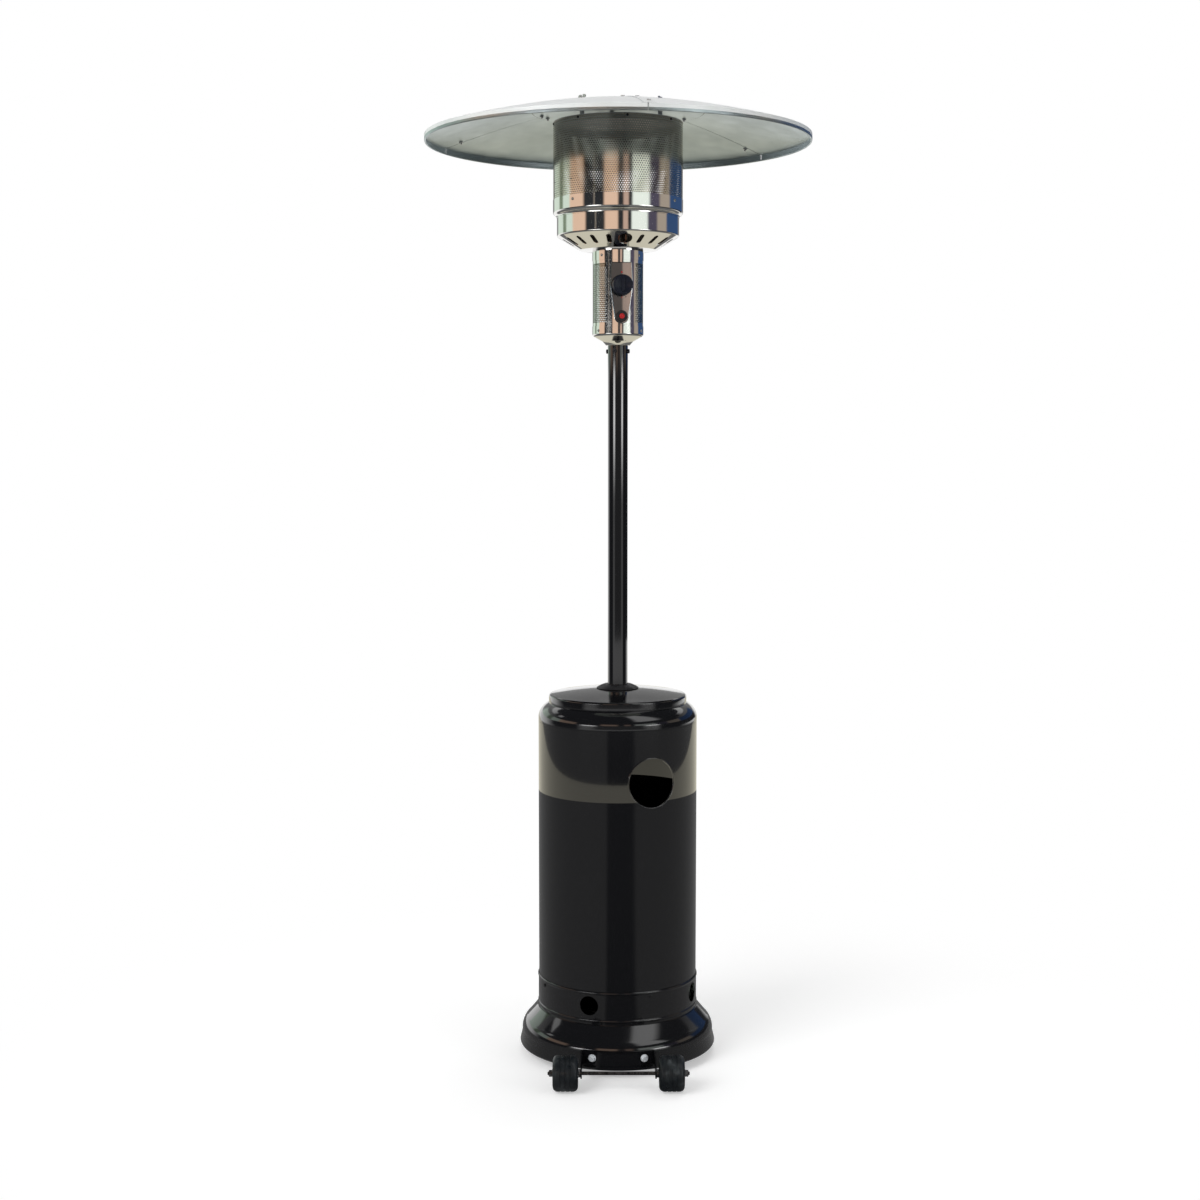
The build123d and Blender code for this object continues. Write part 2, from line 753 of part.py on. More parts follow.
with BuildPart() as control_panel:
    with BuildSketch(facing(front, control_radius / 2)):
        add(panel_outline(0))
    extrude(amount=panel_face - control_radius / 2)
    fillet(control_panel.faces().sort_by(Axis(outward(front), outward(front)))[-1].edges(), 1.8)
    with BuildSketch(facing(front, control_radius / 2)):
        add(panel_outline(panel_sheet))
    extrude(amount=panel_face - control_radius / 2 - panel_sheet, mode=Mode.SUBTRACT)
    with BuildSketch(Plane.XY.offset(igniter_z - 2 * panel_round)):
        Circle(control_radius + nest_gap)
    extrude(amount=igniter_drop + panel_head + 3 * panel_round, mode=Mode.SUBTRACT)
    with BuildSketch(facing(front, panel_face)):
        with Locations((0, knob_z)):
            Circle(nose_radius + hole_gap)
        with Locations((0, igniter_z)):
            Circle(igniter_radius + hole_gap)
    extrude(amount=-panel_stand, mode=Mode.SUBTRACT)
finish(control_panel, "control_panel")

# ---------------------------------------------------------------- gas valve and knob
# Brass valve body behind the panel: a rotary plug turns in it, and the spindle slides in the plug.
bonnet_thick = 6.0
bonnet_face = control_radius - 9
body_face = bonnet_face - bonnet_thick
plug_back = body_face - seat_gap - plug_length
nose_end = panel_face + 3
spindle_back = plug_back + knob_travel + 4
spindle_end = panel_face + knob_length
knob_back = panel_face + knob_travel + seat_gap + 0.5

with BuildPart() as valve_body:
    with BuildSketch(facing(front, -valve_back, knob_z)):
        Rectangle(2 * valve_half, 2 * valve_half)
    extrude(amount=body_face + valve_back)
    fillet(valve_body.edges().filter_by(Axis(outward(front), outward(front))), 2)
    with BuildSketch(facing(front, plug_back - seat_gap, knob_z)):
        Circle(plug_radius + running_gap)
    extrude(amount=2 * plug_length, mode=Mode.SUBTRACT)
finish(valve_body, "valve_body")

with BuildPart() as valve_bonnet:
    with BuildSketch(facing(front, body_face, knob_z)):
        Circle(valve_half - 1)
    extrude(amount=bonnet_thick)
    with BuildSketch(facing(front, bonnet_face, knob_z)):
        Circle(nose_radius)
    extrude(amount=nose_end - bonnet_face)
    with BuildSketch(facing(front, body_face, knob_z)):
        Circle(spindle_radius + seat_gap)
    extrude(amount=nose_end - body_face, mode=Mode.SUBTRACT)
finish(valve_bonnet, "valve_bonnet")

with BuildPart() as valve_plug:
    with BuildSketch(facing(front, plug_back, knob_z)):
        Circle(plug_radius)
    extrude(amount=plug_length)
    with BuildSketch(facing(front, plug_back + 3, knob_z)):
        Circle(spindle_radius + running_gap)
    extrude(amount=plug_length, mode=Mode.SUBTRACT)
finish(valve_plug, "valve_plug")

with BuildPart() as knob_spindle:
    with BuildSketch(facing(front, spindle_back, knob_z)):
        Circle(spindle_radius)
    extrude(amount=spindle_end - spindle_back)
finish(knob_spindle, "knob_spindle")

with BuildPart() as valve_nut:
    with BuildSketch(facing(front, panel_face, knob_z)):
        RegularPolygon(nose_radius + 4, 6)
        Circle(nose_radius + nest_gap, mode=Mode.SUBTRACT)
    extrude(amount=2.5)
finish(valve_nut, "valve_nut")

# Moulded knob: a skirt with finger flutes, a hub on the spindle and a raised pointer.
knob_wall = 3.0
flute_count = 14
with BuildPart() as gas_knob:
    with BuildSketch(facing(front, knob_back, knob_z)):
        Circle(knob_radius)
    extrude(amount=knob_length, taper=5)
    fillet(gas_knob.faces().sort_by(Axis(outward(front), outward(front)))[-1].edges(), 2.5)
    with BuildSketch(facing(front, knob_back, knob_z)):
        with PolarLocations(knob_radius + 1.2, flute_count):
            Circle(2.4)
    extrude(amount=knob_length, mode=Mode.SUBTRACT)
    with BuildSketch(facing(front, knob_back, knob_z)):
        Circle(knob_radius - knob_wall - 2)
        Circle(spindle_radius + 4, mode=Mode.SUBTRACT)
    extrude(amount=knob_length - 2 * knob_wall, mode=Mode.SUBTRACT)
    with BuildSketch(facing(front, knob_back, knob_z)):
        Circle(spindle_radius + 4)
    extrude(amount=knob_travel + 1, mode=Mode.SUBTRACT)
    with BuildSketch(facing(front, knob_back, knob_z)):
        Circle(spindle_radius + running_gap)
    extrude(amount=spindle_end - knob_back + seat_gap, mode=Mode.SUBTRACT)
finish(gas_knob, "gas_knob")

# ---------------------------------------------------------------- piezo igniter
bezel_height = 4.0
button_proud = 3.0
bezel_face = panel_face + bezel_height
button_back = bezel_face - 18
with BuildPart() as igniter_body:
    with BuildSketch(facing(front, panel_face, igniter_z)):
        Circle(bezel_radius)
    extrude(amount=bezel_height)
    fillet(igniter_body.faces().sort_by(Axis(outward(front), outward(front)))[-1].edges(), 1.5)
    with BuildSketch(facing(front, panel_face, igniter_z)):
        Circle(igniter_radius)
    extrude(amount=-igniter_length)
    with BuildSketch(radial(front)):
        with Locations((line_depth, igniter_z)):
            Circle(line_radius)
    extrude(amount=-lead_side - line_radius)
    with BuildSketch(facing(front, bezel_face, igniter_z)):
        Circle(button_radius + seat_gap)
    extrude(amount=button_back - button_travel - seat_gap - bezel_face, mode=Mode.SUBTRACT)
finish(igniter_body, "igniter_body")

with BuildPart() as igniter_button:
    with BuildSketch(facing(front, button_back, igniter_z)):
        Circle(button_radius)
    extrude(amount=bezel_face + button_proud - button_back)
    fillet(igniter_button.faces().sort_by(Axis(outward(front), outward(front)))[-1].edges(), 1.2)
finish(igniter_button, "igniter_button")

# ---------------------------------------------------------------- gas lines inside the head
# Inlet pipe with a hexagon and a threaded nipple that points down into the pole.
pipe_length = 80.0
nipple_length = 24.0
nipple_hexagon = 8.0
valve_floor = knob_z - valve_half
valve_roof = knob_z + valve_half
nipple_z = valve_floor - pipe_length
with BuildPart() as inlet_pipe:
    with BuildSketch(Plane.XY.offset(valve_floor)):
        Circle(pipe_radius)
        Circle(pipe_radius - 1.5, mode=Mode.SUBTRACT)
    extrude(amount=-pipe_length)
    with BuildSketch(Plane.XY.offset(nipple_z)):
        RegularPolygon(nipple_hexagon, 6)
        Circle(pipe_radius - 1.5, mode=Mode.SUBTRACT)
    extrude(amount=nipple_hexagon)
    with BuildSketch(Plane.XY.offset(nipple_z)):
        Circle(nipple_radius)
        Circle(pipe_radius - 1.5, mode=Mode.SUBTRACT)
    extrude(amount=-nipple_length)
finish(inlet_pipe, "inlet_pipe")

# Orifice that feeds the venturi.
nozzle_radius = 4.0
nozzle_height = 16.0
with BuildPart() as gas_nozzle:
    with BuildSketch(Plane.XY.offset(valve_roof)):
        RegularPolygon(nozzle_radius + 3, 6)
    extrude(amount=nozzle_height / 2)
    with BuildSketch(Plane.XY.offset(valve_roof)):
        Circle(nozzle_radius)
    extrude(amount=nozzle_height)
    with BuildSketch(Plane.XY.offset(valve_roof)):
        Circle(1)
    extrude(amount=nozzle_height, mode=Mode.SUBTRACT)
finish(gas_nozzle, "gas_nozzle")

# ---------------------------------------------------------------- burner dish
# Spun bowl: flat bottom on the control collar, slotted cone, upright band. One slot is a round
# hole at the front for a lighter.
dish_z = collar_top
cone_root = control_radius + dish_flat
dish_top = dish_z + dish_cone_height + dish_band_height
slot_circle = (cone_root + dish_radius) / 2
line_z = dish_z + 13
with BuildPart() as burner_dish:
    with BuildSketch(Plane.XZ):
        with BuildLine():
            FilletPolyline(
                (venturi_radius + hole_gap, dish_z),
                (cone_root, dish_z),
                (dish_radius, dish_z + dish_cone_height),
                (dish_radius, dish_top),
                radius=5,
            )
            offset(amount=stainless, side=Side.LEFT)
        make_face()
    revolve(axis=Axis.Z)
    with BuildSketch(Plane.XY.offset(dish_z)):
        for number in range(1, slot_count):
            with Locations(level(front + number * 360 / slot_count, slot_circle, 0)):
                SlotOverall(slot_length, slot_width)
        with Locations(level(front, slot_circle, 0)):
            Circle(lighting_hole)
        for sideways in (pilot_side, thermocouple_side, lead_side):
            with Locations(radial(front, sideways).from_local_coords((line_depth, 0, 0))):
                Circle(line_radius + hole_gap)
    extrude(amount=dish_cone_height, mode=Mode.SUBTRACT)
finish(burner_dish, "burner_dish")

# Venturi tube from the orifice up into the burner.
venturi_foot = valve_roof + nozzle_height - 4
with BuildPart() as venturi_tube:
    with BuildSketch(Plane.XY.offset(venturi_foot)):
        Circle(venturi_radius)
        Circle(venturi_radius - venturi_wall, mode=Mode.SUBTRACT)
    extrude(amount=dish_top + burner_height / 3 - venturi_foot)
finish(venturi_tube, "venturi_tube")

# Flat plate on the dish's rim, with a hole for the venturi and one over the pilot.
plate_top = dish_top + stainless
pilot_opening = 11.0
with BuildPart() as burner_plate:
    with BuildSketch(Plane.XY.offset(dish_top)):
        Circle(dish_radius)
        Circle(venturi_radius + hole_gap, mode=Mode.SUBTRACT)
        with Locations(radial(front, pilot_side).from_local_coords((pilot_depth, 0, 0))):
            Circle(pilot_opening, mode=Mode.SUBTRACT)
    extrude(amount=stainless)
finish(burner_plate, "burner_plate")

# Burner: a hollow spun mushroom with a ring of flame ports.
burner_wall = 1.5
port_count = 16
port_radius = 3.0
with BuildPart() as burner:
    with BuildSketch(Plane.XZ):
        with BuildLine():
            neck = venturi_radius + hole_gap + burner_wall
            Polyline(
                (neck, plate_top),
                (neck, plate_top + burner_height / 4),
                (burner_radius, plate_top + burner_height / 2),
                (burner_radius, plate_top + burner_height - 10),
                (burner_radius - 12, plate_top + burner_height),
                (0, plate_top + burner_height),
            )
            offset(amount=burner_wall, side=Side.LEFT)
        make_face()
    revolve(axis=Axis.Z)
    for number in range(port_count):
        port_bearing = front + (number + 0.5) * 360 / port_count
        with BuildSketch(facing(port_bearing, burner_radius / 2, plate_top + burner_height * 0.64)):
            Circle(port_radius)
        extrude(amount=burner_radius, mode=Mode.SUBTRACT)
finish(burner, "burner")

# ---------------------------------------------------------------- emitter
# Flange ring: hugs the dish's rim and widens to the upright face that holds the screen.
flange_lip = dish_radius + hole_gap + stainless
flange_face = screen_radius + nest_gap + stainless
flange_z = dish_top + 6
flange_screw_bearings = (front - 51, front + 51, front + 129, front - 129)
flange_screw_z = flange_z + 18
with BuildPart() as flange_ring:
    with BuildSketch(Plane.XZ):
        with BuildLine():
            Polyline(
                (flange_lip, dish_top - 7),
                (flange_lip, dish_top - 3),
                (flange_face, flange_z),
                (flange_face, flange_z + ring_face),
            )
            offset(amount=stainless, side=Side.LEFT)
        make_face()
    revolve(axis=Axis.Z)
    for bearing in flange_screw_bearings:
        with BuildSketch(facing(bearing, 0, flange_screw_z)):
            Circle(head_screw_radius + hole_gap)
        extrude(amount=2 * flange_face, mode=Mode.SUBTRACT)
finish(flange_ring, "flange_ring")

# Screen: a round sheet wall, perforated above the flange ring.
screen_z = flange_z + 0.6
screen_top = screen_z + screen_height
with BuildPart() as emitter_screen:
    with BuildSketch(Plane.XY.offset(screen_z)):
        Circle(screen_radius)
        Circle(screen_radius - stainless, mode=Mode.SUBTRACT)
    extrude(amount=screen_height)
    for bearing in flange_screw_bearings:
        with BuildSketch(facing(bearing, 0, flange_screw_z)):
            Circle(head_screw_radius + hole_gap)
        extrude(amount=2 * flange_face, mode=Mode.SUBTRACT)
finish(emitter_screen, "emitter_screen")
screws(
    "flange_screws",
    [facing(bearing, flange_face, flange_screw_z) for bearing in flange_screw_bearings],
    shank=head_screw_radius,
    length=5,
    head=3.0,
    height=1.6,
)

# Cap: a round tray upside down in the top of the screen.
cap_radius = screen_radius - stainless - nest_gap
stud_circle = screen_radius - stud_inset
stud_bearings = [front + 60 + 120 * number for number in range(3)]
with BuildPart() as emitter_cap:
    with BuildSketch(Plane.XZ):
        with BuildLine():
            Polyline((cap_radius, screen_top - cap_lip), (cap_radius, screen_top), (0, screen_top))
            offset(amount=stainless, side=Side.LEFT)
        make_face()
    revolve(axis=Axis.Z)
    with BuildSketch(Plane.XY.offset(screen_top)):
        for bearing in stud_bearings:
            with Locations(outward(bearing) * stud_circle):
                Circle(stud_radius + hole_gap)
    extrude(amount=-stainless, mode=Mode.SUBTRACT)
finish(emitter_cap, "emitter_cap")

# ---------------------------------------------------------------- reflector
# The underside of the hub plate follows one arc from the hub hole out to the rim. A layer is a
# distance above that arc: hub plate, panels and seam laps lie on each other as layers.
reach = reflector_radius - hub_hole
half_chord = hypot(reach, reflector_rise) / 2
sag = sqrt(reflector_crown**2 - half_chord**2)
arc_r = (reflector_radius + hub_hole) / 2 - sag * reflector_rise / (2 * half_chord)
arc_height = reflector_rise / 2 - sag * reach / (2 * half_chord)
stud_arc_height = arc_height + sqrt(reflector_crown**2 - (stud_circle - arc_r) ** 2)
arc_z = screen_top + stud_height - stud_arc_height + arc_height
panel_layer = aluminium + nest_gap
lap_layer = 2 * panel_layer
top_layer = lap_layer + aluminium
seam_bearings = [front + 120 * number for number in range(3)]
hub_screw_radius = hub_plate_radius - hub_screw_inset
hub_screw_bearings = [
    seam + side for seam in seam_bearings for side in (-hub_screw_spread, hub_screw_spread)
]
seam_screw_radius = 2.0


def layer_z(radius, layer):
    """Height of a reflector layer at a radius."""
    return arc_z + sqrt((reflector_crown + layer) ** 2 - (radius - arc_r) ** 2)


def layer_plane(bearing, radius, layer):
    """Plane that touches a reflector layer, z along the outward normal."""
    height = layer_z(radius, layer)
    normal = outward(bearing) * (radius - arc_r) + Vector(0, 0, height - arc_z)
    origin = outward(bearing) * radius + Vector(0, 0, height)
    return Plane(origin=origin, x_dir=outward(bearing + 90), z_dir=normal)


def layer_section(lower, upper, inner, outer):
    """Section of a sheet between two layers and two radii, for a revolve about the axis."""
    with BuildSketch(Plane.XY) as section:
        with Locations((arc_r, arc_z)):
            Circle(reflector_crown + upper)
            Circle(reflector_crown + lower, mode=Mode.SUBTRACT)
        with Locations(((inner + outer) / 2, layer_z((inner + outer) / 2, 0))):
            Rectangle(outer - inner, 2 * reflector_rise, mode=Mode.INTERSECT)
    return section.sketch


# Hub plate: the round plate under the panels' inner ends, flat in the middle.
hub_z = layer_z(hub_hole, 0)
with BuildPart() as hub_plate:
    with BuildSketch(Plane.XZ):
        add(layer_section(0, aluminium, hub_hole - 1, hub_plate_radius))
        with Locations((hub_hole / 2, hub_z + aluminium / 2)):
            Rectangle(hub_hole, aluminium)
    revolve(axis=Axis.Z)
    with BuildSketch(Plane.XY.offset(screen_top)):
        for bearing in stud_bearings:
            with Locations(outward(bearing) * stud_circle):
                Circle(stud_radius + hole_gap)
    extrude(amount=2 * stud_height, mode=Mode.SUBTRACT)
    for hole in hub_screw_bearings:
        with BuildSketch(layer_plane(hole, hub_screw_radius, top_layer)):
            Circle(seam_screw_radius + hole_gap)
        extrude(amount=-4 * top_layer, mode=Mode.SUBTRACT)
finish(hub_plate, "hub_plate")

# Three panels, each with a turned-down lip and a bead at the rim and a raised lap over the next.
seam_room = 0.05
riser_width = 1.2
rim_z_top = layer_z(reflector_radius, panel_layer)
for number, bearing in enumerate(seam_bearings, start=1):
    with BuildPart() as reflector_panel:
        with BuildSketch(radial(bearing + seam_room)):
            add(layer_section(panel_layer, panel_layer + aluminium, hub_hole, reflector_radius))
            with Locations((reflector_radius - aluminium / 2, rim_z_top - rim_lip / 2 + aluminium / 2)):
                Rectangle(aluminium, rim_lip + aluminium)
            with Locations((reflector_radius - rim_bead, rim_z_top - rim_lip)):
                Circle(rim_bead)
        revolve(axis=Axis.Z, revolution_arc=120 - 2 * seam_room)
        lap_inner = hub_hole + 2
        lap_outer = reflector_radius - 2
        with BuildSketch(radial(bearing + 120 - riser_width)):
            add(layer_section(panel_layer, top_layer, lap_inner, lap_outer))
        revolve(axis=Axis.Z, revolution_arc=riser_width - 2 * seam_room)
        with BuildSketch(radial(bearing + 120 - riser_width)):
            add(layer_section(lap_layer, top_layer, lap_inner, lap_outer))
        revolve(axis=Axis.Z, revolution_arc=riser_width + lap_width)
        holes = [(hole, hub_screw_radius) for hole in hub_screw_bearings]
        for seam in (bearing, bearing + 120):
            holes.append((seam + lap_width / 2, seam_screw_share * reflector_radius))
        for hole, radius in holes:
            with BuildSketch(layer_plane(hole, radius, top_layer)):
                Circle(seam_screw_radius + hole_gap)
            extrude(amount=-4 * top_layer, mode=Mode.SUBTRACT)
        with BuildSketch(Plane.XY.offset(screen_top)):
            for stud in stud_bearings:
                with Locations(outward(stud) * stud_circle):
                    Circle(stud_radius + hole_gap)
        extrude(amount=2 * stud_height, mode=Mode.SUBTRACT)
    finish(reflector_panel, f"reflector_panel_{number}")

screws(
    "seam_screws",
    [
        layer_plane(seam + lap_width / 2, seam_screw_share * reflector_radius, top_layer)
        for seam in seam_bearings
    ]
    + [layer_plane(hole, hub_screw_radius, panel_layer + aluminium) for hole in hub_screw_bearings],
    shank=seam_screw_radius,
    length=8,
    head=4.5,
    height=2.5,
    grips=3 * [top_layer - panel_layer + nest_gap] + 6 * [panel_layer + aluminium + nest_gap],
)

# Studs with spacers between the emitter's cap and the hub plate, and wing nuts on top.
spacer_radius = 5.0
wing_height = 12.0
wing_span = 26.0
wing_z = layer_z(stud_circle - 2 * stud_radius, panel_layer + aluminium) + nest_gap
spacer_top = layer_z(stud_circle + spacer_radius, 0) - nest_gap
with BuildPart() as reflector_studs:
    for bearing in stud_bearings:
        with BuildSketch(level(bearing, stud_circle, screen_top)):
            Circle(spacer_radius)
        extrude(amount=spacer_top - screen_top)
        with BuildSketch(level(bearing, stud_circle, screen_top - stainless - 4)):
            Circle(stud_radius)
        extrude(amount=wing_z + wing_height - screen_top)
        with BuildSketch(level(bearing, stud_circle, screen_top - stainless)):
            Circle(2 * stud_radius)
        extrude(amount=-3)
finish(reflector_studs, "reflector_studs")

with BuildPart() as wing_nuts:
    for bearing in stud_bearings:
        with BuildSketch(level(bearing, stud_circle, wing_z)):
            Circle(2 * stud_radius)
        extrude(amount=wing_height / 2)
        with BuildSketch(facing(bearing, stud_circle, wing_z)):
            with Locations((0, wing_height * 0.6)):
                SlotOverall(wing_span, wing_height * 0.8)
        extrude(amount=1, both=True)
        with BuildSketch(level(bearing, stud_circle, wing_z)):
            Circle(stud_radius + nest_gap)
        extrude(amount=2 * wing_height, mode=Mode.SUBTRACT)
finish(wing_nuts, "wing_nuts")

# ---------------------------------------------------------------- pilot, spark and thermocouple
# A shelf hangs from the burner plate behind the lighting hole and carries the pilot group.
shelf_z = dish_top - 30
shelf_thickness = 1.5
shelf_half = 24.0
shelf_depth = 12.0
tip_length = 18.0
pilot_tip = 5.0
spark_tip = 3.5
thermocouple_tip = 2.5
shelf_holes = {pilot_side: pilot_tip, thermocouple_side: thermocouple_tip, lead_side: spark_tip}
with BuildPart() as pilot_shelf:
    with BuildSketch(Plane.XY.offset(shelf_z)):
        with Locations(level(front, pilot_depth, 0)):
            Rectangle(2 * shelf_depth, 2 * shelf_half)
        for sideways, tip in shelf_holes.items():
            with Locations(radial(front, sideways).from_local_coords((pilot_depth, 0, 0))):
                Circle(tip + hole_gap, mode=Mode.SUBTRACT)
    extrude(amount=shelf_thickness)
    with BuildSketch(Plane.XY.offset(shelf_z)):
        with Locations(level(front, pilot_depth - shelf_depth + shelf_thickness / 2, 0)):
            Rectangle(shelf_thickness, 2 * shelf_half)
    extrude(amount=dish_top - shelf_z)
finish(pilot_shelf, "pilot_shelf")


def gas_line(name, sideways, foot, tip_radius, tip_rod=0.0):
    """Small tube that rises in the head, bends out over the dish and ends in a fitting on the shelf."""
    run = radial(front, sideways)
    tip_z = shelf_z - tip_length / 2
    with BuildPart() as line:
        with BuildLine(run) as route:
            FilletPolyline(
                (line_depth, foot),
                (line_depth, line_z),
                (pilot_depth, line_z),
                (pilot_depth, tip_z),
                radius=line_bend,
            )
        with BuildSketch(Plane(origin=route.line @ 0, z_dir=(0, 0, 1))):
            Circle(line_radius)
        sweep(path=route.line)
        with BuildSketch(Plane(origin=route.line @ 1, z_dir=(0, 0, 1))):
            Circle(tip_radius)
        extrude(amount=tip_length)
        if tip_rod:
            with BuildSketch(Plane(origin=route.line @ 1, z_dir=(0, 0, 1))):
                Circle(tip_rod)
            extrude(amount=1.5 * tip_length)
    finish(line, name)


gas_line("pilot_tube", pilot_side, valve_roof, pilot_tip)
gas_line("thermocouple", thermocouple_side, valve_roof, thermocouple_tip)
gas_line("igniter_lead", lead_side, igniter_z + line_radius, spark_tip, tip_rod=1.2)

# Tilt switch: cuts the gas when the heater leans; it sits on the back of the control housing.
switch_width = 16.0
switch_depth = 18.0
switch_height = 24.0
switch_back = sqrt(shell_inside**2 - (switch_width / 2) ** 2) - nest_gap
with BuildPart() as tilt_switch:
    with BuildSketch(facing(front + 180, switch_back, knob_z)):
        Rectangle(switch_width, switch_height)
    extrude(amount=-switch_depth)
    chamfer(tilt_switch.edges().filter_by(Axis.Z), length=2)
finish(tilt_switch, "tilt_switch")
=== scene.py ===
import bpy
from math import asin, atan2, cos, degrees, hypot, pi, radians, sin, sqrt
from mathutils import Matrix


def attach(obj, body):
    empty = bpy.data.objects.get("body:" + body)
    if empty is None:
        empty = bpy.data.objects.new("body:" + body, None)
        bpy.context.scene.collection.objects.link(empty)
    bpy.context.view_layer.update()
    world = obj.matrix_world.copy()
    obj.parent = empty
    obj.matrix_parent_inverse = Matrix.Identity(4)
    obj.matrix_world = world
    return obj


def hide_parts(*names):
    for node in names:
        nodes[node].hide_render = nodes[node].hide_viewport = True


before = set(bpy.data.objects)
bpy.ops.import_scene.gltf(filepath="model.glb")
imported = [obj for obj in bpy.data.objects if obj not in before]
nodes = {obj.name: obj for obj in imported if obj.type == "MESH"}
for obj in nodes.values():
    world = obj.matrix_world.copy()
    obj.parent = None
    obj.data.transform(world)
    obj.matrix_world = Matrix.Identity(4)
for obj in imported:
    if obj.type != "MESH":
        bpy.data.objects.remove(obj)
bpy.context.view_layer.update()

# ---------------------------------------------------------------- studio
# White floor that keeps the heater's shadow, a white world, soft lamps, and the camera. None of it
# is part of the heater.
scene = bpy.context.scene
scene.view_settings.view_transform = "Standard"


def deselect():
    """Leave edit mode and deselect everything, so that the next operator acts on its own piece only."""
    if bpy.context.object and bpy.context.object.mode != "OBJECT":
        bpy.ops.object.mode_set(mode="OBJECT")
    bpy.ops.object.select_all(action="DESELECT")


def calculate(tree, operation, *values):
    """Result of a math node on sockets and plain numbers."""
    step = tree.nodes.new("ShaderNodeMath")
    step.operation = operation
    for number, value in enumerate(values):
        if isinstance(value, (int, float)):
            step.inputs[number].default_value = value
        else:
            tree.links.new(value, step.inputs[number])
    return step.outputs[0]


def seen_share(tree, share):
    """A value of share for rays from the camera, from gloss and through glass, and 0 for the others."""
    path = tree.nodes.new("ShaderNodeLightPath")
    in_sight = calculate(tree, "MAXIMUM", path.outputs["Is Camera Ray"], path.outputs["Is Glossy Ray"])
    in_sight = calculate(tree, "MAXIMUM", in_sight, path.outputs["Is Transmission Ray"])
    return calculate(tree, "MULTIPLY", in_sight, share)


def spread(tree, value, low, high, to_low=0.0, to_high=1.0, way="LINEAR"):
    """A value's range between low and high, stretched to another range."""
    change = tree.nodes.new("ShaderNodeMapRange")
    change.interpolation_type = way
    change.inputs["From Min"].default_value = low
    change.inputs["From Max"].default_value = high
    change.inputs["To Min"].default_value = to_low
    change.inputs["To Max"].default_value = to_high
    tree.links.new(value, change.inputs["Value"])
    return change.outputs["Result"]


world = bpy.data.worlds.new("studio")
scene.world = world
world.use_nodes = True
sky = world.node_tree.nodes["Background"]
sky.inputs["Color"].default_value = (1, 1, 1, 1)
sky_level = calculate(world.node_tree, "ADD", seen_share(world.node_tree, 0.58), 0.42)
world.node_tree.links.new(sky_level, sky.inputs["Strength"])

deselect()
bpy.ops.mesh.primitive_plane_add(size=80, location=(0, 0, 0))
floor = bpy.context.object
floor.name = "studio_floor"
floor_paint = bpy.data.materials.new("floor_paint")
floor_paint.use_nodes = True
floor_tree = floor_paint.node_tree
floor_tree.nodes.remove(floor_tree.nodes["Principled BSDF"])
matt = floor_tree.nodes.new("ShaderNodeBsdfDiffuse")
matt.inputs["Color"].default_value = (0.80, 0.80, 0.80, 1)
glow = floor_tree.nodes.new("ShaderNodeEmission")
floor_tree.links.new(seen_share(floor_tree, 0.37), glow.inputs["Strength"])
both = floor_tree.nodes.new("ShaderNodeAddShader")
floor_tree.links.new(matt.outputs[0], both.inputs[0])
floor_tree.links.new(glow.outputs[0], both.inputs[1])
far_level = calculate(floor_tree, "ADD", seen_share(floor_tree, 0.5), 0.5)
far_glow = floor_tree.nodes.new("ShaderNodeEmission")
floor_tree.links.new(far_level, far_glow.inputs["Strength"])
floor_place = floor_tree.nodes.new("ShaderNodeTexCoord")
from_middle = floor_tree.nodes.new("ShaderNodeVectorMath")
from_middle.operation = "LENGTH"
floor_tree.links.new(floor_place.outputs["Object"], from_middle.inputs[0])
fade = spread(floor_tree, from_middle.outputs["Value"], 0.45, 1.5, way="SMOOTHSTEP")
near_far = floor_tree.nodes.new("ShaderNodeMixShader")
floor_tree.links.new(fade, near_far.inputs["Fac"])
floor_tree.links.new(both.outputs[0], near_far.inputs[1])
floor_tree.links.new(far_glow.outputs[0], near_far.inputs[2])
floor_tree.links.new(near_far.outputs[0], floor_tree.nodes["Material Output"].inputs["Surface"])
floor.data.materials.append(floor_paint)


# What polished and enamelled faces mirror, seen by gloss only: a round curtain with rows of soft
# upright bands, a dark canopy with one light field, and an apron on the floor.
def ramp(tree, source, stops):
    """Colour that follows a value over (position, colour) stops."""
    shades = tree.nodes.new("ShaderNodeValToRGB")
    elements = shades.color_ramp.elements
    for number, (position, colour) in enumerate(stops):
        stop = elements[number] if number < 2 else elements.new(position)
        stop.position = position
        stop.color = (*colour, 1)
    tree.links.new(source, shades.inputs["Fac"])
    return shades.outputs["Color"]


def place_values(tree):
    """Azimuth round the pole's axis as 0 to 1 with 0.5 in front, distance from the origin, and height."""
    place = tree.nodes.new("ShaderNodeTexCoord")
    parts = tree.nodes.new("ShaderNodeSeparateXYZ")
    tree.links.new(place.outputs["Object"], parts.inputs[0])
    ahead = calculate(tree, "MULTIPLY", parts.outputs["Y"], -1)
    azimuth = spread(tree, calculate(tree, "ARCTAN2", parts.outputs["X"], ahead), -pi, pi)
    reach = tree.nodes.new("ShaderNodeVectorMath")
    reach.operation = "LENGTH"
    tree.links.new(place.outputs["Object"], reach.inputs[0])
    return azimuth, reach.outputs["Value"], parts.outputs["Z"]


def blend(tree, share, first, second):
    """Colour between two colours, by a share of the second."""
    mix = tree.nodes.new("ShaderNodeMix")
    mix.data_type = "RGBA"
    tree.links.new(share, mix.inputs[0])
    tree.links.new(first, mix.inputs[6])
    tree.links.new(second, mix.inputs[7])
    return mix.outputs[2]


def bands(tree, azimuth, stops):
    """Colour over (degrees from the front, colour) stops."""
    return ramp(tree, azimuth, [((degree + 180) / 360, colour) for degree, colour in stops])


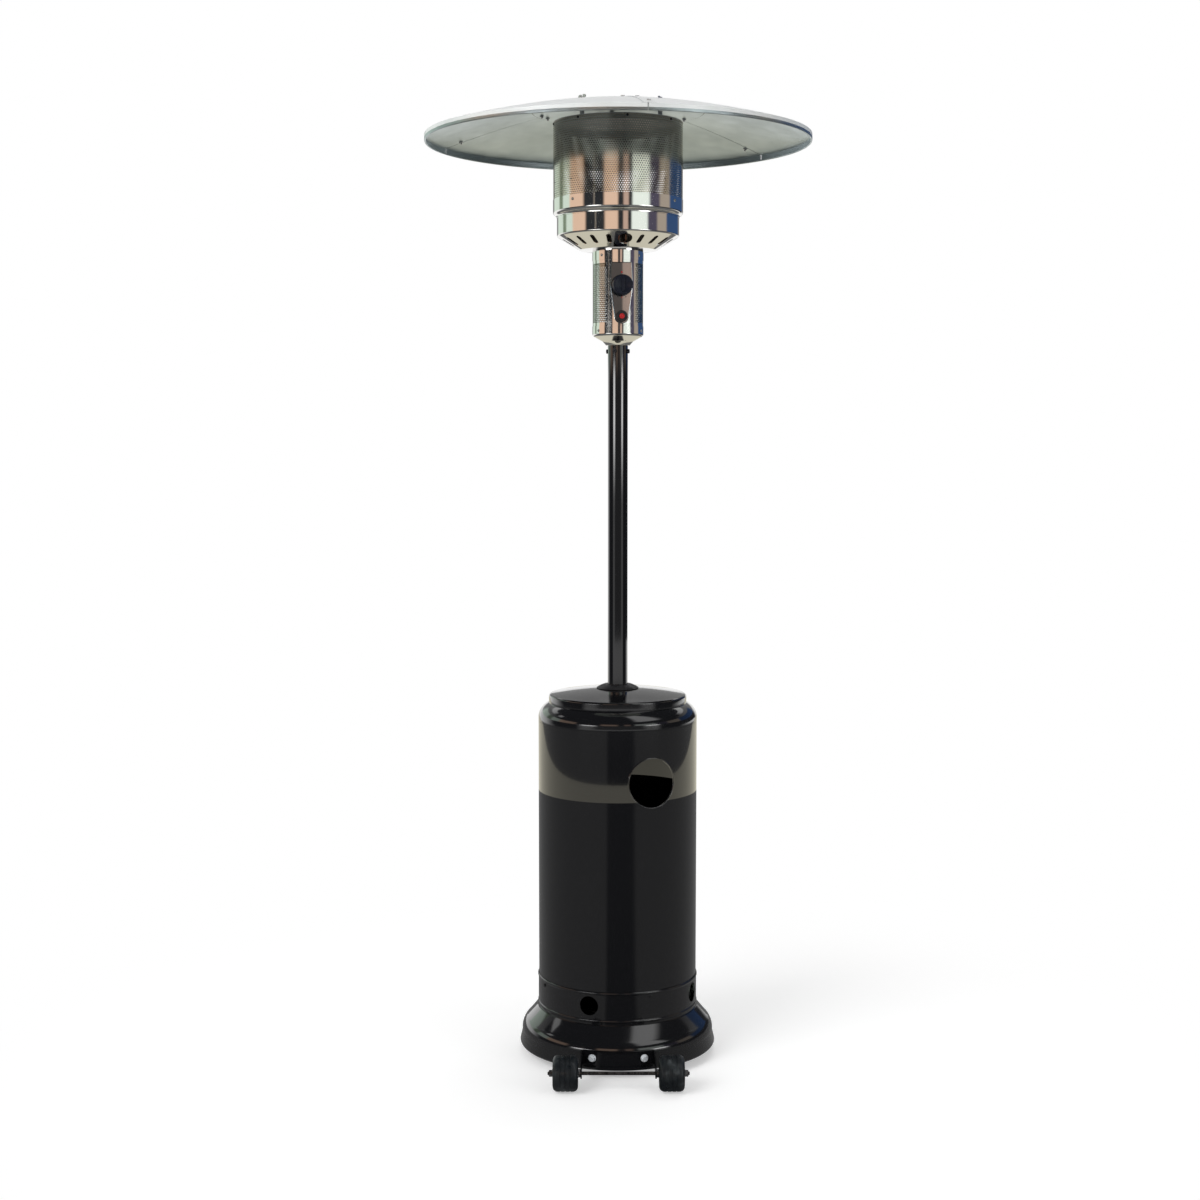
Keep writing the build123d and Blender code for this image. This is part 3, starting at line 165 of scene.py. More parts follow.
def cloth(name):
    """Glowing cloth, its node tree, and the socket of its colour."""
    material = bpy.data.materials.new(name)
    material.use_nodes = True
    tree = material.node_tree
    tree.nodes.remove(tree.nodes["Principled BSDF"])
    glow = tree.nodes.new("ShaderNodeEmission")
    tree.links.new(glow.outputs[0], tree.nodes["Material Output"].inputs["Surface"])
    return material, tree, glow.inputs["Color"]


def settle():
    """Put the active piece's place, turn and scale into its mesh."""
    bpy.ops.object.transform_apply(location=True, rotation=True, scale=True)


def gloss_only(piece, name, material):
    """Name a piece of the studio, give it its cloth, and let only gloss see it."""
    piece.name = name
    settle()
    for kind in ("camera", "diffuse", "transmission", "volume_scatter", "shadow"):
        setattr(piece, "visible_" + kind, False)
    piece.data.materials.append(material)


mint = (0.98, 1.06, 1.00)
pale = (0.74, 0.86, 0.76)
moss = (0.22, 0.28, 0.20)
beige = (0.86, 0.60, 0.45)
sand = (0.42, 0.36, 0.30)
rose = (0.60, 0.42, 0.34)
plum = (0.090, 0.080, 0.120)
blue = (0.040, 0.085, 0.200)
dusk = (0.030, 0.032, 0.036)
grey = (0.26, 0.26, 0.26)
white = (1.0, 1.0, 1.0)
streak = (6.5, 6.5, 6.5)
faint = (0.5, 0.5, 0.5)
dim = (0.10, 0.10, 0.10)
mid_grey = (0.62, 0.62, 0.62)
curtain_cloth, curtain_tree, curtain_colour = cloth("curtain_cloth")
azimuth, _, level = place_values(curtain_tree)
foot_row = bands(curtain_tree, azimuth, [
    (-180, white), (-125, white), (-105, dusk), (-62, dusk), (-52, faint), (-40, faint), (-30, dim),
    (34, dim), (44, faint), (58, faint), (66, dusk), (150, dusk), (160, white),
])
pole_row = bands(curtain_tree, azimuth, [
    (-180, white), (-125, white), (-105, dusk), (-58, dusk), (-50, streak), (-36, streak), (-28, dim),
    (36, dim), (45, streak), (56, streak), (64, dusk), (150, dusk), (160, white),
])
head_row = bands(curtain_tree, azimuth, [
    (-180, grey), (-158, grey), (-150, pale), (-128, pale), (-124, moss), (-116, moss), (-112, pale),
    (-97, pale), (-92, beige), (-66, beige), (-61, dusk), (-44, dusk), (-43, sand), (-41, dusk),
    (-27, dusk), (-23, beige), (-2, beige), (1, dusk), (8, dusk), (10, rose), (17, rose), (19, dusk),
    (23, dusk), (26, mint), (54, mint), (59, plum), (75, plum), (80, sand), (100, sand), (105, blue),
    (150, blue), (158, grey),
])
high_row = bands(curtain_tree, azimuth, [
    (-180, grey), (-125, grey), (-100, dusk), (100, dusk), (125, grey),
])
top_row = bands(curtain_tree, azimuth, [
    (-180, white), (-130, white), (-118, dusk), (-111, dusk), (-109, white), (-101, white), (-99, dusk),
    (115, dusk), (130, white),
])
rows = foot_row
rows_above = [(0.95, 1.65, pole_row), (1.85, 2.05, head_row), (4.0, 4.4, high_row), (5.4, 5.8, top_row)]
for low, high, row in rows_above:
    rows = blend(curtain_tree, spread(curtain_tree, level, low, high, way="SMOOTHSTEP"), rows, row)
curtain_tree.links.new(rows, curtain_colour)
curtain_reach = 9
deselect()
bpy.ops.mesh.primitive_cylinder_add(
    vertices=128, radius=curtain_reach, depth=7.5, end_fill_type="NOTHING", location=(0, 0, 3.6)
)
bpy.ops.object.shade_smooth()
gloss_only(bpy.context.object, "studio_curtain", curtain_cloth)

canopy_cloth, canopy_tree, canopy_colour = cloth("canopy_cloth")
azimuth = place_values(canopy_tree)[0]
field = (1.25, 1.25, 1.25)
one_field = [(-180, dusk), (24, dusk), (34, field), (66, field), (78, dusk)]
canopy_tree.links.new(bands(canopy_tree, azimuth, one_field), canopy_colour)
deselect()
bpy.ops.mesh.primitive_circle_add(
    vertices=96, radius=curtain_reach + 0.2, fill_type="NGON", location=(0, 0, 7.3)
)
gloss_only(bpy.context.object, "studio_canopy", canopy_cloth)

apron_cloth, apron_tree, apron_colour = cloth("apron_cloth")
azimuth, reach, _ = place_values(apron_tree)
shade = (0.15, 0.15, 0.15)
near_cloth = bands(apron_tree, azimuth, [(-180, shade), (-17, shade), (-13, dusk), (20, dusk), (26, shade)])
far_cloth = bands(apron_tree, azimuth, [
    (-180, white), (-125, white), (-100, dusk), (-62, dusk), (-53, mid_grey), (56, mid_grey), (66, dusk),
    (100, dusk), (125, white),
])
near_to_far = spread(apron_tree, reach, 6.2, 6.8, way="SMOOTHSTEP")
apron_tree.links.new(blend(apron_tree, near_to_far, near_cloth, far_cloth), apron_colour)
deselect()
bpy.ops.mesh.primitive_circle_add(
    vertices=96, radius=curtain_reach, fill_type="NGON", location=(0, 0, 0.004)
)
gloss_only(bpy.context.object, "studio_apron", apron_cloth)

# The card lies flat and low behind the heater: cream from above, and clear from below.
card_cloth, card_tree, card_colour = cloth("card_cloth")
card_colour.default_value = (0.66, 0.63, 0.52, 1)
card_glow = card_colour.node
card_side = card_tree.nodes.new("ShaderNodeNewGeometry")
card_clear = card_tree.nodes.new("ShaderNodeBsdfTransparent")
card_mix = card_tree.nodes.new("ShaderNodeMixShader")
card_tree.links.new(card_side.outputs["Backfacing"], card_mix.inputs["Fac"])
card_tree.links.new(card_glow.outputs[0], card_mix.inputs[1])
card_tree.links.new(card_clear.outputs[0], card_mix.inputs[2])
card_tree.links.new(card_mix.outputs[0], card_tree.nodes["Material Output"].inputs["Surface"])
deselect()
bpy.ops.mesh.primitive_circle_add(vertices=96, radius=2.6, fill_type="NGON", location=(0, 2.2, 0.62))
bpy.context.object.scale = (0.4, 1, 1)
gloss_only(bpy.context.object, "studio_card", card_cloth)


def soft_lamp(name, place, aim, size, watts):
    """Square soft box of white light at a place, pointed at another place."""
    deselect()
    bpy.ops.object.light_add(type="AREA", location=place)
    lamp = bpy.context.object
    lamp.name = name
    lamp.data.size = size
    lamp.data.energy = watts
    lamp.visible_glossy = False
    dx, dy, dz = (b - a for a, b in zip(place, aim))
    lamp.rotation_euler = (atan2(hypot(dx, dy), -dz), 0, atan2(-dx, dy))


soft_lamp("key_box", (-3.2, -3.4, 3.6), (0, 0, 1.2), 3.0, 155)
soft_lamp("fill_box", (3.8, -2.6, 2.0), (0, 0, 1.3), 2.4, 38)
soft_lamp("low_box", (0.6, -3.6, 0.35), (0, 0, 1.9), 1.6, 16)
soft_lamp("top_box", (0.5, 1.5, 4.8), (0, 0, 1.8), 2.5, 48)

camera_tilt = -4.91
bpy.ops.object.camera_add(location=(-0.041, -4.307, 1.431), rotation=(radians(90 + camera_tilt), 0, 0))
camera = bpy.context.object
camera.data.lens = 56.0
camera.data.sensor_width = 36
scene.camera = camera

# ---------------------------------------------------------------- base skirt
# Spun steel foot: inturned rim, rolled hem, waist, rounded flare, ledge and deck. It is spun from
# one sheet, 1.2 mm thick, and enamelled gloss black.


def arc(start, through, end, steps):
    """Points of the circular arc from start over through to end, start left out."""
    ax, ay = through[0] - start[0], through[1] - start[1]
    bx, by = end[0] - start[0], end[1] - start[1]
    double = 2 * (ax * by - ay * bx)
    ux = (by * (ax * ax + ay * ay) - ay * (bx * bx + by * by)) / double
    uy = (ax * (bx * bx + by * by) - bx * (ax * ax + ay * ay)) / double
    centre = (start[0] + ux, start[1] + uy)
    radius = hypot(ux, uy)
    first = atan2(start[1] - centre[1], start[0] - centre[0])
    last = atan2(end[1] - centre[1], end[0] - centre[0])
    middle = atan2(through[1] - centre[1], through[0] - centre[0])
    sweep = (last - first) % (2 * pi)
    if (middle - first) % (2 * pi) > sweep:
        sweep -= 2 * pi
    angles = [first + sweep * k / steps for k in range(1, steps + 1)]
    return [(centre[0] + radius * cos(angle), centre[1] + radius * sin(angle)) for angle in angles]


def spun(name, rings, sides=160):
    """Sheet spun about the pole's axis: each ring of (radius, height) is extruded from the last one."""
    deselect()
    radius, height = rings[0]
    bpy.ops.mesh.primitive_circle_add(vertices=sides, radius=radius, location=(0, 0, height))
    piece = bpy.context.object
    piece.name = name
    settle()
    bpy.ops.object.mode_set(mode="EDIT")
    bpy.ops.mesh.select_all(action="SELECT")
    for (r0, z0), (r1, z1) in zip(rings, rings[1:]):
        bpy.ops.mesh.extrude_region_move(TRANSFORM_OT_translate={"value": (0, 0, z1 - z0)})
        if r1 == 0:
            bpy.ops.mesh.merge(type="CENTER")
        else:
            bpy.ops.transform.resize(value=(r1 / r0, r1 / r0, 1), center_override=(0, 0, z1))
    bpy.ops.mesh.select_all(action="SELECT")
    bpy.ops.mesh.remove_doubles(threshold=0.00001)
    bpy.ops.mesh.normals_make_consistent(inside=False)
    bpy.ops.object.mode_set(mode="OBJECT")
    return piece


def pick(piece):
    """Select one piece alone and make it the active one."""
    deselect()
    piece.select_set(True)
    bpy.context.view_layer.objects.active = piece


def thicken(piece, thickness):
    """Give a sheet its thickness, inwards from the faces."""
    pick(piece)
    wall = piece.modifiers.new("wall", "SOLIDIFY")
    wall.thickness = thickness
    wall.offset = -1
    bpy.ops.object.modifier_apply(modifier="wall")


def smooth(piece, angle):
    """Smooth shading across edges flatter than the angle."""
    pick(piece)
    bpy.ops.object.shade_smooth_by_angle(angle=radians(angle))


def spun_shell(name, rings, thickness, angle, sides=160):
    """Spun sheet with its thickness, shaded smooth across edges flatter than the angle."""
    piece = spun(name, rings, sides)
    thicken(piece, thickness)
    smooth(piece, angle)
    return piece


def dress(piece, body, slot, material, *stands_for):
    """Material and body of a finished piece, and the CAD nodes that it stands for. The slot is not used."""
    piece.data.materials.clear()
    piece.data.materials.append(material)
    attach(piece, body)
    if stands_for:
        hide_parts(*stands_for)


def finish(name, colour, metal=0.0, rough=0.4, **sockets):
    """Material with one Principled shader; sockets are its other inputs by name, spaces as underscores."""
    material = bpy.data.materials.new(name)
    material.use_nodes = True
    shader = material.node_tree.nodes["Principled BSDF"]
    shader.inputs["Base Color"].default_value = (*colour, 1)
    shader.inputs["Metallic"].default_value = metal
    shader.inputs["Roughness"].default_value = rough
    for socket, value in sockets.items():
        shader.inputs[socket.replace("_", " ")].default_value = value
    return material


def noise(material, scale, stretch=(1, 1, 1), detail=4.0):
    """Noise in the object's own coordinates, stretched per axis."""
    tree = material.node_tree
    place = tree.nodes.new("ShaderNodeTexCoord")
    mapping = tree.nodes.new("ShaderNodeMapping")
    mapping.inputs["Scale"].default_value = stretch
    tree.links.new(place.outputs["Object"], mapping.inputs["Vector"])
    cloud = tree.nodes.new("ShaderNodeTexNoise")
    cloud.inputs["Scale"].default_value = scale
    cloud.inputs["Detail"].default_value = detail
    tree.links.new(mapping.outputs["Vector"], cloud.inputs["Vector"])
    return cloud.outputs["Fac"]


def vary_roughness(material, scale, low, high, stretch=(1, 1, 1)):
    """Let the roughness follow a noise between two values."""
    tree = material.node_tree
    roughness = spread(tree, noise(material, scale, stretch), 0.3, 0.7, low, high)
    tree.links.new(roughness, tree.nodes["Principled BSDF"].inputs["Roughness"])


def roughen(material, scale, strength, distance=0.0005, stretch=(1, 1, 1), detail=4.0):
    """Bump from a noise."""
    tree = material.node_tree
    bump = tree.nodes.new("ShaderNodeBump")
    bump.inputs["Strength"].default_value = strength
    bump.inputs["Distance"].default_value = distance
    tree.links.new(noise(material, scale, stretch, detail), bump.inputs["Height"])
    tree.links.new(bump.outputs["Normal"], tree.nodes["Principled BSDF"].inputs["Normal"])


enamel_black = (0.0050, 0.0050, 0.0058)
enamel = finish("black_enamel", enamel_black, rough=0.12, Coat_Weight=1.0, Coat_Roughness=0.05)
vary_roughness(enamel, 9, 0.09, 0.18, stretch=(1, 1, 0.4))
roughen(enamel, 420, 0.05, 0.0002, detail=2)

spun_sheet = 0.0012
skirt_rings = [(0.169, 0.019), (0.2214, 0.019)]
skirt_rings += arc((0.2214, 0.019), (0.22635, 0.02105), (0.2284, 0.026), 6)
skirt_rings += [(0.2229, 0.049)]
skirt_rings += arc((0.2229, 0.049), (0.2225, 0.062), (0.210, 0.083), 14)
skirt_rings += [(0.1889, 0.1085), (0.1877, 0.110), (0.1836, 0.110), (0.1836, 0.1212), (0.1828, 0.122)]
skirt_rings += [(0.1328, 0.122), (0.1298, 0.124), (0, 0.124)]
skirt = spun_shell("base_skirt_shell", skirt_rings, spun_sheet, 28)
dress(skirt, "stand", "black_enamel", enamel, "base_skirt")

# ---------------------------------------------------------------- feet
# Four moulded rubber feet under the inturned rim, each held by a zinc-plated screw in its recess.
# They are the CAD's solids and get only their materials here.


def paint(material, *names):
    """Give CAD nodes a material."""
    for name in names:
        slots = nodes[name].data.materials
        if len(slots) == 0:
            slots.append(material)
        for number in range(len(slots)):
            slots[number] = material


def vary_colour(material, scale, stops, stretch=(1, 1, 1), detail=4.0):
    """Let the colour follow a noise over (position, colour) stops."""
    tree = material.node_tree
    colour = ramp(tree, noise(material, scale, stretch, detail), stops)
    tree.links.new(colour, tree.nodes["Principled BSDF"].inputs["Base Color"])


rubber = finish("black_rubber", (0.018, 0.018, 0.018), rough=0.7)
roughen(rubber, 500, 0.2, detail=3)
vary_roughness(rubber, 60, 0.6, 0.85)
paint(rubber, "rubber_feet")

zinc = finish("bright_zinc", (0.60, 0.61, 0.62), metal=1.0, rough=0.28)
vary_roughness(zinc, 250, 0.2, 0.42)
vary_colour(zinc, 90, [(0.35, (0.50, 0.51, 0.53)), (0.65, (0.68, 0.68, 0.66))])
paint(zinc, "foot_screws")

# ---------------------------------------------------------------- wheel bracket
# Bent strip of painted steel with two ears, bolted to the waist of the skirt by two hexagon bolts
# on round washers.
paint(enamel, "wheel_bracket")


def outward(bearing, distance, height=0.0):
    """Point at a bearing and distance from the pole's axis."""
    return (distance * cos(radians(bearing)), distance * sin(radians(bearing)), height)


def round_edges(piece, width, segments=2):
    """Round the sharp edges of a piece."""
    pick(piece)
    edges = piece.modifiers.new("edges", "BEVEL")
    edges.width = width
    edges.segments = segments
    edges.limit_method = "ANGLE"
    edges.angle_limit = radians(40)
    bpy.ops.object.modifier_apply(modifier="edges")


def join(first, *others):
    """Join pieces into the first one."""
    pick(first)
    for piece in others:
        piece.select_set(True)
    bpy.ops.object.join()
    return first


def hexagon_bolt(name, across, height, washer, place, bearing):
    """Hexagon head with a turned-off top on a round washer, facing a bearing."""
    deselect()
    bpy.ops.mesh.primitive_cylinder_add(vertices=6, radius=across, depth=height)
    head = bpy.context.object
    head.name = name
    bpy.ops.object.mode_set(mode="EDIT")
    bpy.ops.mesh.select_all(action="DESELECT")
    bpy.ops.object.mode_set(mode="OBJECT")
    for face in head.data.polygons:
        face.select = face.normal.z > 0.9
    bpy.ops.object.mode_set(mode="EDIT")
    bpy.ops.mesh.inset(thickness=across * 0.14)
    bpy.ops.transform.translate(value=(0, 0, height * 0.16))
    bpy.ops.object.mode_set(mode="OBJECT")
    deselect()
    bpy.ops.mesh.primitive_cylinder_add(
        vertices=40, radius=washer, depth=0.0016, location=(0, 0, -height / 2 - 0.0004)
    )
    ring = bpy.context.object
    ring.name = name + "_washer"
    round_edges(ring, 0.0004)
    join(head, ring)
    round_edges(head, across * 0.05)
    head.rotation_euler = (0, radians(90), radians(bearing))
    head.location = place
    settle()
    smooth(head, 30)
    return head


# Painted highlight: the bolts' zinc is mostly pale diffuse colour, standing in for bright glints.
painted_highlight_zinc = finish("painted_highlight_zinc", (0.80, 0.84, 0.88), metal=0.35, rough=0.28)
vary_roughness(painted_highlight_zinc, 250, 0.2, 0.4)
vary_colour(painted_highlight_zinc, 120, [(0.35, (0.62, 0.66, 0.70)), (0.65, (0.90, 0.93, 0.96))])
for side, bearing, stands_for in (("left", -104.677, ["bracket_bolts"]), ("right", -75.323, [])):
    place = outward(bearing, 0.2347, 0.049)
    bolt = hexagon_bolt(f"bracket_bolt_{side}", 0.0072, 0.0052, 0.0088, place, bearing)
    dress(bolt, "stand", "zinc", painted_highlight_zinc, *stands_for)

# ---------------------------------------------------------------- axle
# Drawn steel rod through the bracket's ears, with a spacer inside each wheel and a nut outside. They
# are the CAD's solids; spacers and nuts are dull zinc-plated steel.
rod_steel = finish("drawn_steel", (0.10, 0.10, 0.105), metal=1.0, rough=0.38)
vary_colour(rod_steel, 60, [(0.3, (0.06, 0.06, 0.065)), (0.7, (0.20, 0.19, 0.18))], stretch=(4, 1, 1))
vary_roughness(rod_steel, 120, 0.3, 0.55)
paint(rod_steel, "wheel_axle")
nut_steel = finish("dull_zinc", (0.34, 0.34, 0.35), metal=1.0, rough=0.4)
vary_roughness(nut_steel, 200, 0.3, 0.55)
paint(nut_steel, "axle_nuts", "axle_spacers")

# ---------------------------------------------------------------- wheels
# Each wheel has a moulded hub with ribs in its dished faces and a wide rubber tyre with rounded
# shoulders, worn grey where it rolls.
tyre_rubber = finish("worn_tyre", (0.020, 0.024, 0.025), rough=0.5)
tyre_wear = [(0.35, (0.006, 0.008, 0.010)), (0.55, (0.012, 0.015, 0.017)), (0.72, (0.045, 0.052, 0.055))]
vary_colour(tyre_rubber, 45, tyre_wear, detail=8)
vary_roughness(tyre_rubber, 70, 0.26, 0.55)
roughen(tyre_rubber, 260, 0.25, detail=6)
hub_plastic = finish("hub_plastic", (0.016, 0.018, 0.019), rough=0.42)
vary_roughness(hub_plastic, 80, 0.34, 0.55)
roughen(hub_plastic, 600, 0.08, detail=2)
wheel_out, axle_y, axle_height = 0.11725, -0.3, 0.0405


def lay_on_axle(piece, side):
    """Turn a piece that was spun about +Z so that its axis is the axle, and move it to its wheel."""
    piece.rotation_euler = (0, radians(90 * side), 0)
    piece.location = (side * wheel_out, axle_y, axle_height)
    pick(piece)
    settle()


for side, name in ((-1, "left"), (1, "right")):
    tread = [(0.0242, -0.0278), (0.0290, -0.0280)]
    tread += arc((0.0290, -0.0280), (0.03605, -0.02490), (0.0392, -0.0180), 7)
    for groove in (-0.0105, 0.0, 0.0105):
        tread += [(0.0395, groove - 0.0016), (0.0386, groove - 0.0010), (0.0386, groove + 0.0010)]
        tread += [(0.0395, groove + 0.0016)]
    tread += [(0.0392, 0.0180)]
    tread += arc((0.0392, 0.0180), (0.03605, 0.02490), (0.0290, 0.0280), 7)
    tread += [(0.0242, 0.0278), (0.0242, -0.0278)]
    tyre = spun(f"{name}_tyre", tread, sides=96)
    lay_on_axle(tyre, side)
    smooth(tyre, 40)
    dress(tyre, f"{name}_wheel", "tyre", tyre_rubber, f"{name}_wheel_tyre")

    hub_rings = [(0.00405, -0.02895), (0.0090, -0.02895), (0.0098, -0.0281), (0.0104, -0.0235)]
    hub_rings += [(0.0196, -0.0235), (0.0202, -0.0262), (0.0240, -0.0262), (0.0240, 0.0262)]
    hub_rings += [(0.0202, 0.0262), (0.0196, 0.0235), (0.0104, 0.0235), (0.0098, 0.0281)]
    hub_rings += [(0.0090, 0.02895), (0.00405, 0.02895), (0.00405, -0.02895)]
    hub = spun(f"{name}_hub", hub_rings, sides=72)
    for face in (-1, 1):
        for rib in range(6):
            deselect()
            angle = radians(60 * rib)
            bpy.ops.mesh.primitive_cube_add(
                size=1,
                scale=(0.0100, 0.0022, 0.0028),
                rotation=(0, 0, angle),
                location=(0.0150 * cos(angle), 0.0150 * sin(angle), face * 0.0243),
            )
            web = bpy.context.object
            settle()
            round_edges(web, 0.0005)
            join(hub, web)
    lay_on_axle(hub, side)
    smooth(hub, 30)
    dress(hub, f"{name}_wheel", "hub_plastic", hub_plastic, f"{name}_wheel_hub")

# ---------------------------------------------------------------- legs, flange and pole
# Three flat steel legs carry the pole's flange inside the housing. The pole is a steel tube,
# enamelled black, with a bolt through each side at its top end.
plain_steel = finish("plain_steel", (0.42, 0.42, 0.42), metal=1.0, rough=0.42)
vary_colour(plain_steel, 26, [(0.3, (0.33, 0.33, 0.34)), (0.7, (0.50, 0.50, 0.49))], stretch=(1, 1, 0.3))
vary_roughness(plain_steel, 90, 0.34, 0.55)
paint(plain_steel, "support_leg_1", "support_leg_2", "support_leg_3", "pole_flange")
paint(zinc, "leg_bolts")

pole_rings = [(0.0226, 0.8013), (0.0230, 0.8017), (0.0230, 1.6449), (0.0226, 1.6453)]
pole = spun_shell("pole_tube", pole_rings, 0.0015, 32, sides=96)
pole_enamel = finish("pole_enamel", enamel_black, rough=0.05, Coat_Weight=1.0, Coat_Roughness=0.04)
vary_roughness(pole_enamel, 9, 0.04, 0.07, stretch=(1, 1, 0.4))
dress(pole, "stand", "black_enamel", pole_enamel, "pole")
black_zinc = finish("black_zinc", (0.05, 0.05, 0.055), metal=1.0, rough=0.35)
vary_roughness(black_zinc, 220, 0.25, 0.5)
paint(black_zinc, "pole_bolts")

# ---------------------------------------------------------------- vent ring
# Rolled steel ring with a bead at both edges and four round air holes, which go on through the
# barrel's lower edge. Screws painted with the ring hold the two together.


def cut(piece, cutter):
    """Cut a shape out of a piece and take the cutter away."""
    pick(piece)
    hole = piece.modifiers.new("hole", "BOOLEAN")
    hole.object = cutter
    hole.solver = "EXACT"
    bpy.ops.object.modifier_apply(modifier="hole")
    bpy.data.objects.remove(cutter)


def drill(piece, radius, depth, bearing, distance, height, sides=64):
    """Round hole through a wall that faces a bearing."""
    deselect()
    bpy.ops.mesh.primitive_cylinder_add(
        vertices=sides, radius=radius, depth=depth, location=outward(bearing, distance, height),
        rotation=(0, radians(90), radians(bearing)),
    )
    cut(piece, bpy.context.object)


def punch_vents(piece):
    """Four round air holes near the housing's lower edge."""
    for bearing in (-111, -21, 69, 159):
        drill(piece, 0.022, 0.06, bearing, 0.185, 0.1533)


ring_rings = [(0.1853, 0.1103), (0.1853, 0.1153)]
ring_rings += arc((0.1853, 0.1153), (0.1867, 0.1188), (0.1853, 0.1223), 6)
ring_rings += [(0.1853, 0.1793)]
ring_rings += arc((0.1853, 0.1793), (0.1867, 0.1828), (0.1853, 0.1863), 6)
ring = spun("vent_ring_sheet", ring_rings)
thicken(ring, spun_sheet)
punch_vents(ring)
smooth(ring, 30)
dress(ring, "cylinder_housing", "black_enamel", enamel, "vent_ring")
paint(enamel, "ring_screws")

# ---------------------------------------------------------------- barrel
# Rolled tube of black enamelled sheet, screwed into the vent ring, with a round window near the top.
# A pressed rim runs round the window.
barrel_radius = 0.1840
barrel_rings = [(barrel_radius, height) for height in (0.1663, 0.35, 0.60, 0.7813)]
barrel = spun("barrel_tube", barrel_rings, sides=192)
thicken(barrel, spun_sheet)
punch_vents(barrel)
window_bearing, window_height = -65, 0.6623
drill(barrel, 0.055, 0.12, window_bearing, barrel_radius, window_height, sides=96)
smooth(barrel, 30)
dress(barrel, "cylinder_housing", "black_enamel", enamel, "barrel")

rim_rings = [(0.0553, -0.0004), (0.0557, 0.0009), (0.0568, 0.0014), (0.0580, 0.0009), (0.0588, -0.0004)]
rim_loop = spun("window_rim", rim_rings + rim_rings[:1], sides=96)
for vertex in rim_loop.data.vertices:
    bearing = window_bearing + degrees(asin(vertex.co.x / barrel_radius))
    vertex.co = outward(bearing, barrel_radius + vertex.co.z, window_height + vertex.co.y)
smooth(rim_loop, 50)
dress(rim_loop, "cylinder_housing", "black_enamel", enamel)

# ---------------------------------------------------------------- shoulder and lid
# Two spun pieces of black enamelled sheet: the shoulder plugs into the barrel and rolls in, and the
# crowned lid stands on it.
shoulder_rings = [(0.1827, 0.7713), (0.1827, 0.7813), (0.1836, 0.7813), (0.1840, 0.7817), (0.1840, 0.7933)]
shoulder_rings += arc((0.1840, 0.7933), (0.1763, 0.8110), (0.1600, 0.8233), 10)
shoulder_rings += [(0.1497, 0.8233)]
shoulder = spun_shell("shoulder_ring", shoulder_rings, spun_sheet, 26)
dress(shoulder, "cylinder_housing", "black_enamel", enamel, "shoulder")

lid_rings = [(0.1597, 0.8233), (0.1597, 0.8383)]
lid_rings += arc((0.1597, 0.8383), (0.15823, 0.84184), (0.1547, 0.8433), 6)
crown_rise, crown_top = 0.014, 0.8573
crown_radius = (0.1547**2 + crown_rise**2) / (2 * crown_rise)
for radius in (0.14, 0.12, 0.10, 0.08, 0.06, 0.045, 0.031):
    lid_rings.append((radius, crown_top - crown_radius + sqrt(crown_radius**2 - radius**2)))
lid = spun_shell("lid_pan", lid_rings, spun_sheet, 28)
dress(lid, "cylinder_housing", "black_enamel", enamel, "lid")

# ---------------------------------------------------------------- pole collar
# Moulded black plastic bell that guides the housing on the pole. It plugs into the hole in the
# lid's middle.
black_plastic = finish("black_plastic", (0.016, 0.016, 0.017), rough=0.4)
vary_roughness(black_plastic, 60, 0.32, 0.5)
roughen(black_plastic, 700, 0.06, detail=2)
seat = 0.8567
collar_rings = [(0.0235, seat - 0.007), (0.0305, seat - 0.007), (0.0305, seat), (0.0488, seat)]
collar_rings += [(0.0490, seat + 0.0006)]
collar_rings += arc((0.0490, seat + 0.0006), (0.0410, seat + 0.0054), (0.0335, seat + 0.0085), 8)
collar_rings += [(0.0325, seat + 0.0090), (0.0240, seat + 0.0090), (0.0235, seat + 0.0085)]
collar_rings += [(0.0235, seat - 0.007)]
collar = spun("collar_bell", collar_rings, sides=96)
smooth(collar, 30)
dress(collar, "cylinder_housing", "black_plastic", black_plastic, "pole_collar")

# ---------------------------------------------------------------- neck cup and collar of the head
# Spun stainless cup that seats on the pole, and the plain collar above; both are polished, with
# cross-head screws into the control housing.
polished = finish("polished_stainless", (0.80, 0.79, 0.76), metal=1.0, rough=0.07)
vary_roughness(polished, 14, 0.05, 0.11, stretch=(1, 1, 2))
roughen(polished, 30, 0.04, 0.001, stretch=(1, 1, 0.6), detail=2)

head_radius, head_sheet = 0.0584, 0.0008
cup_rings = [(0.0214, 1.6153), (0.0214, 1.6453), (0.0270, 1.6453)]
cup_rings += arc((0.0270, 1.6453), (0.0280, 1.6456), (0.0286, 1.6464), 3)
cup_rings += [(0.0350, 1.6536)]
cup_rings += arc((0.0350, 1.6536), (0.0364, 1.6546), (0.0380, 1.6554), 3)
cup_rings += [(0.0545, 1.6642)]
cup_rings += arc((0.0545, 1.6642), (0.0573, 1.6665), (head_radius, 1.6700), 5)
cup_rings += [(head_radius, 1.6704), (head_radius, 1.6883)]
cup = spun_shell("neck_cup_bowl", cup_rings, head_sheet, 30, sides=128)
dress(cup, "stand", "polished_steel", polished, "neck_cup")

head_collar_rings = [(head_radius, 1.8353), (head_radius, 1.8603)]
head_collar = spun_shell("head_collar", head_collar_rings, head_sheet, 30, sides=128)
dress(head_collar, "stand", "polished_steel", polished, "control_collar")


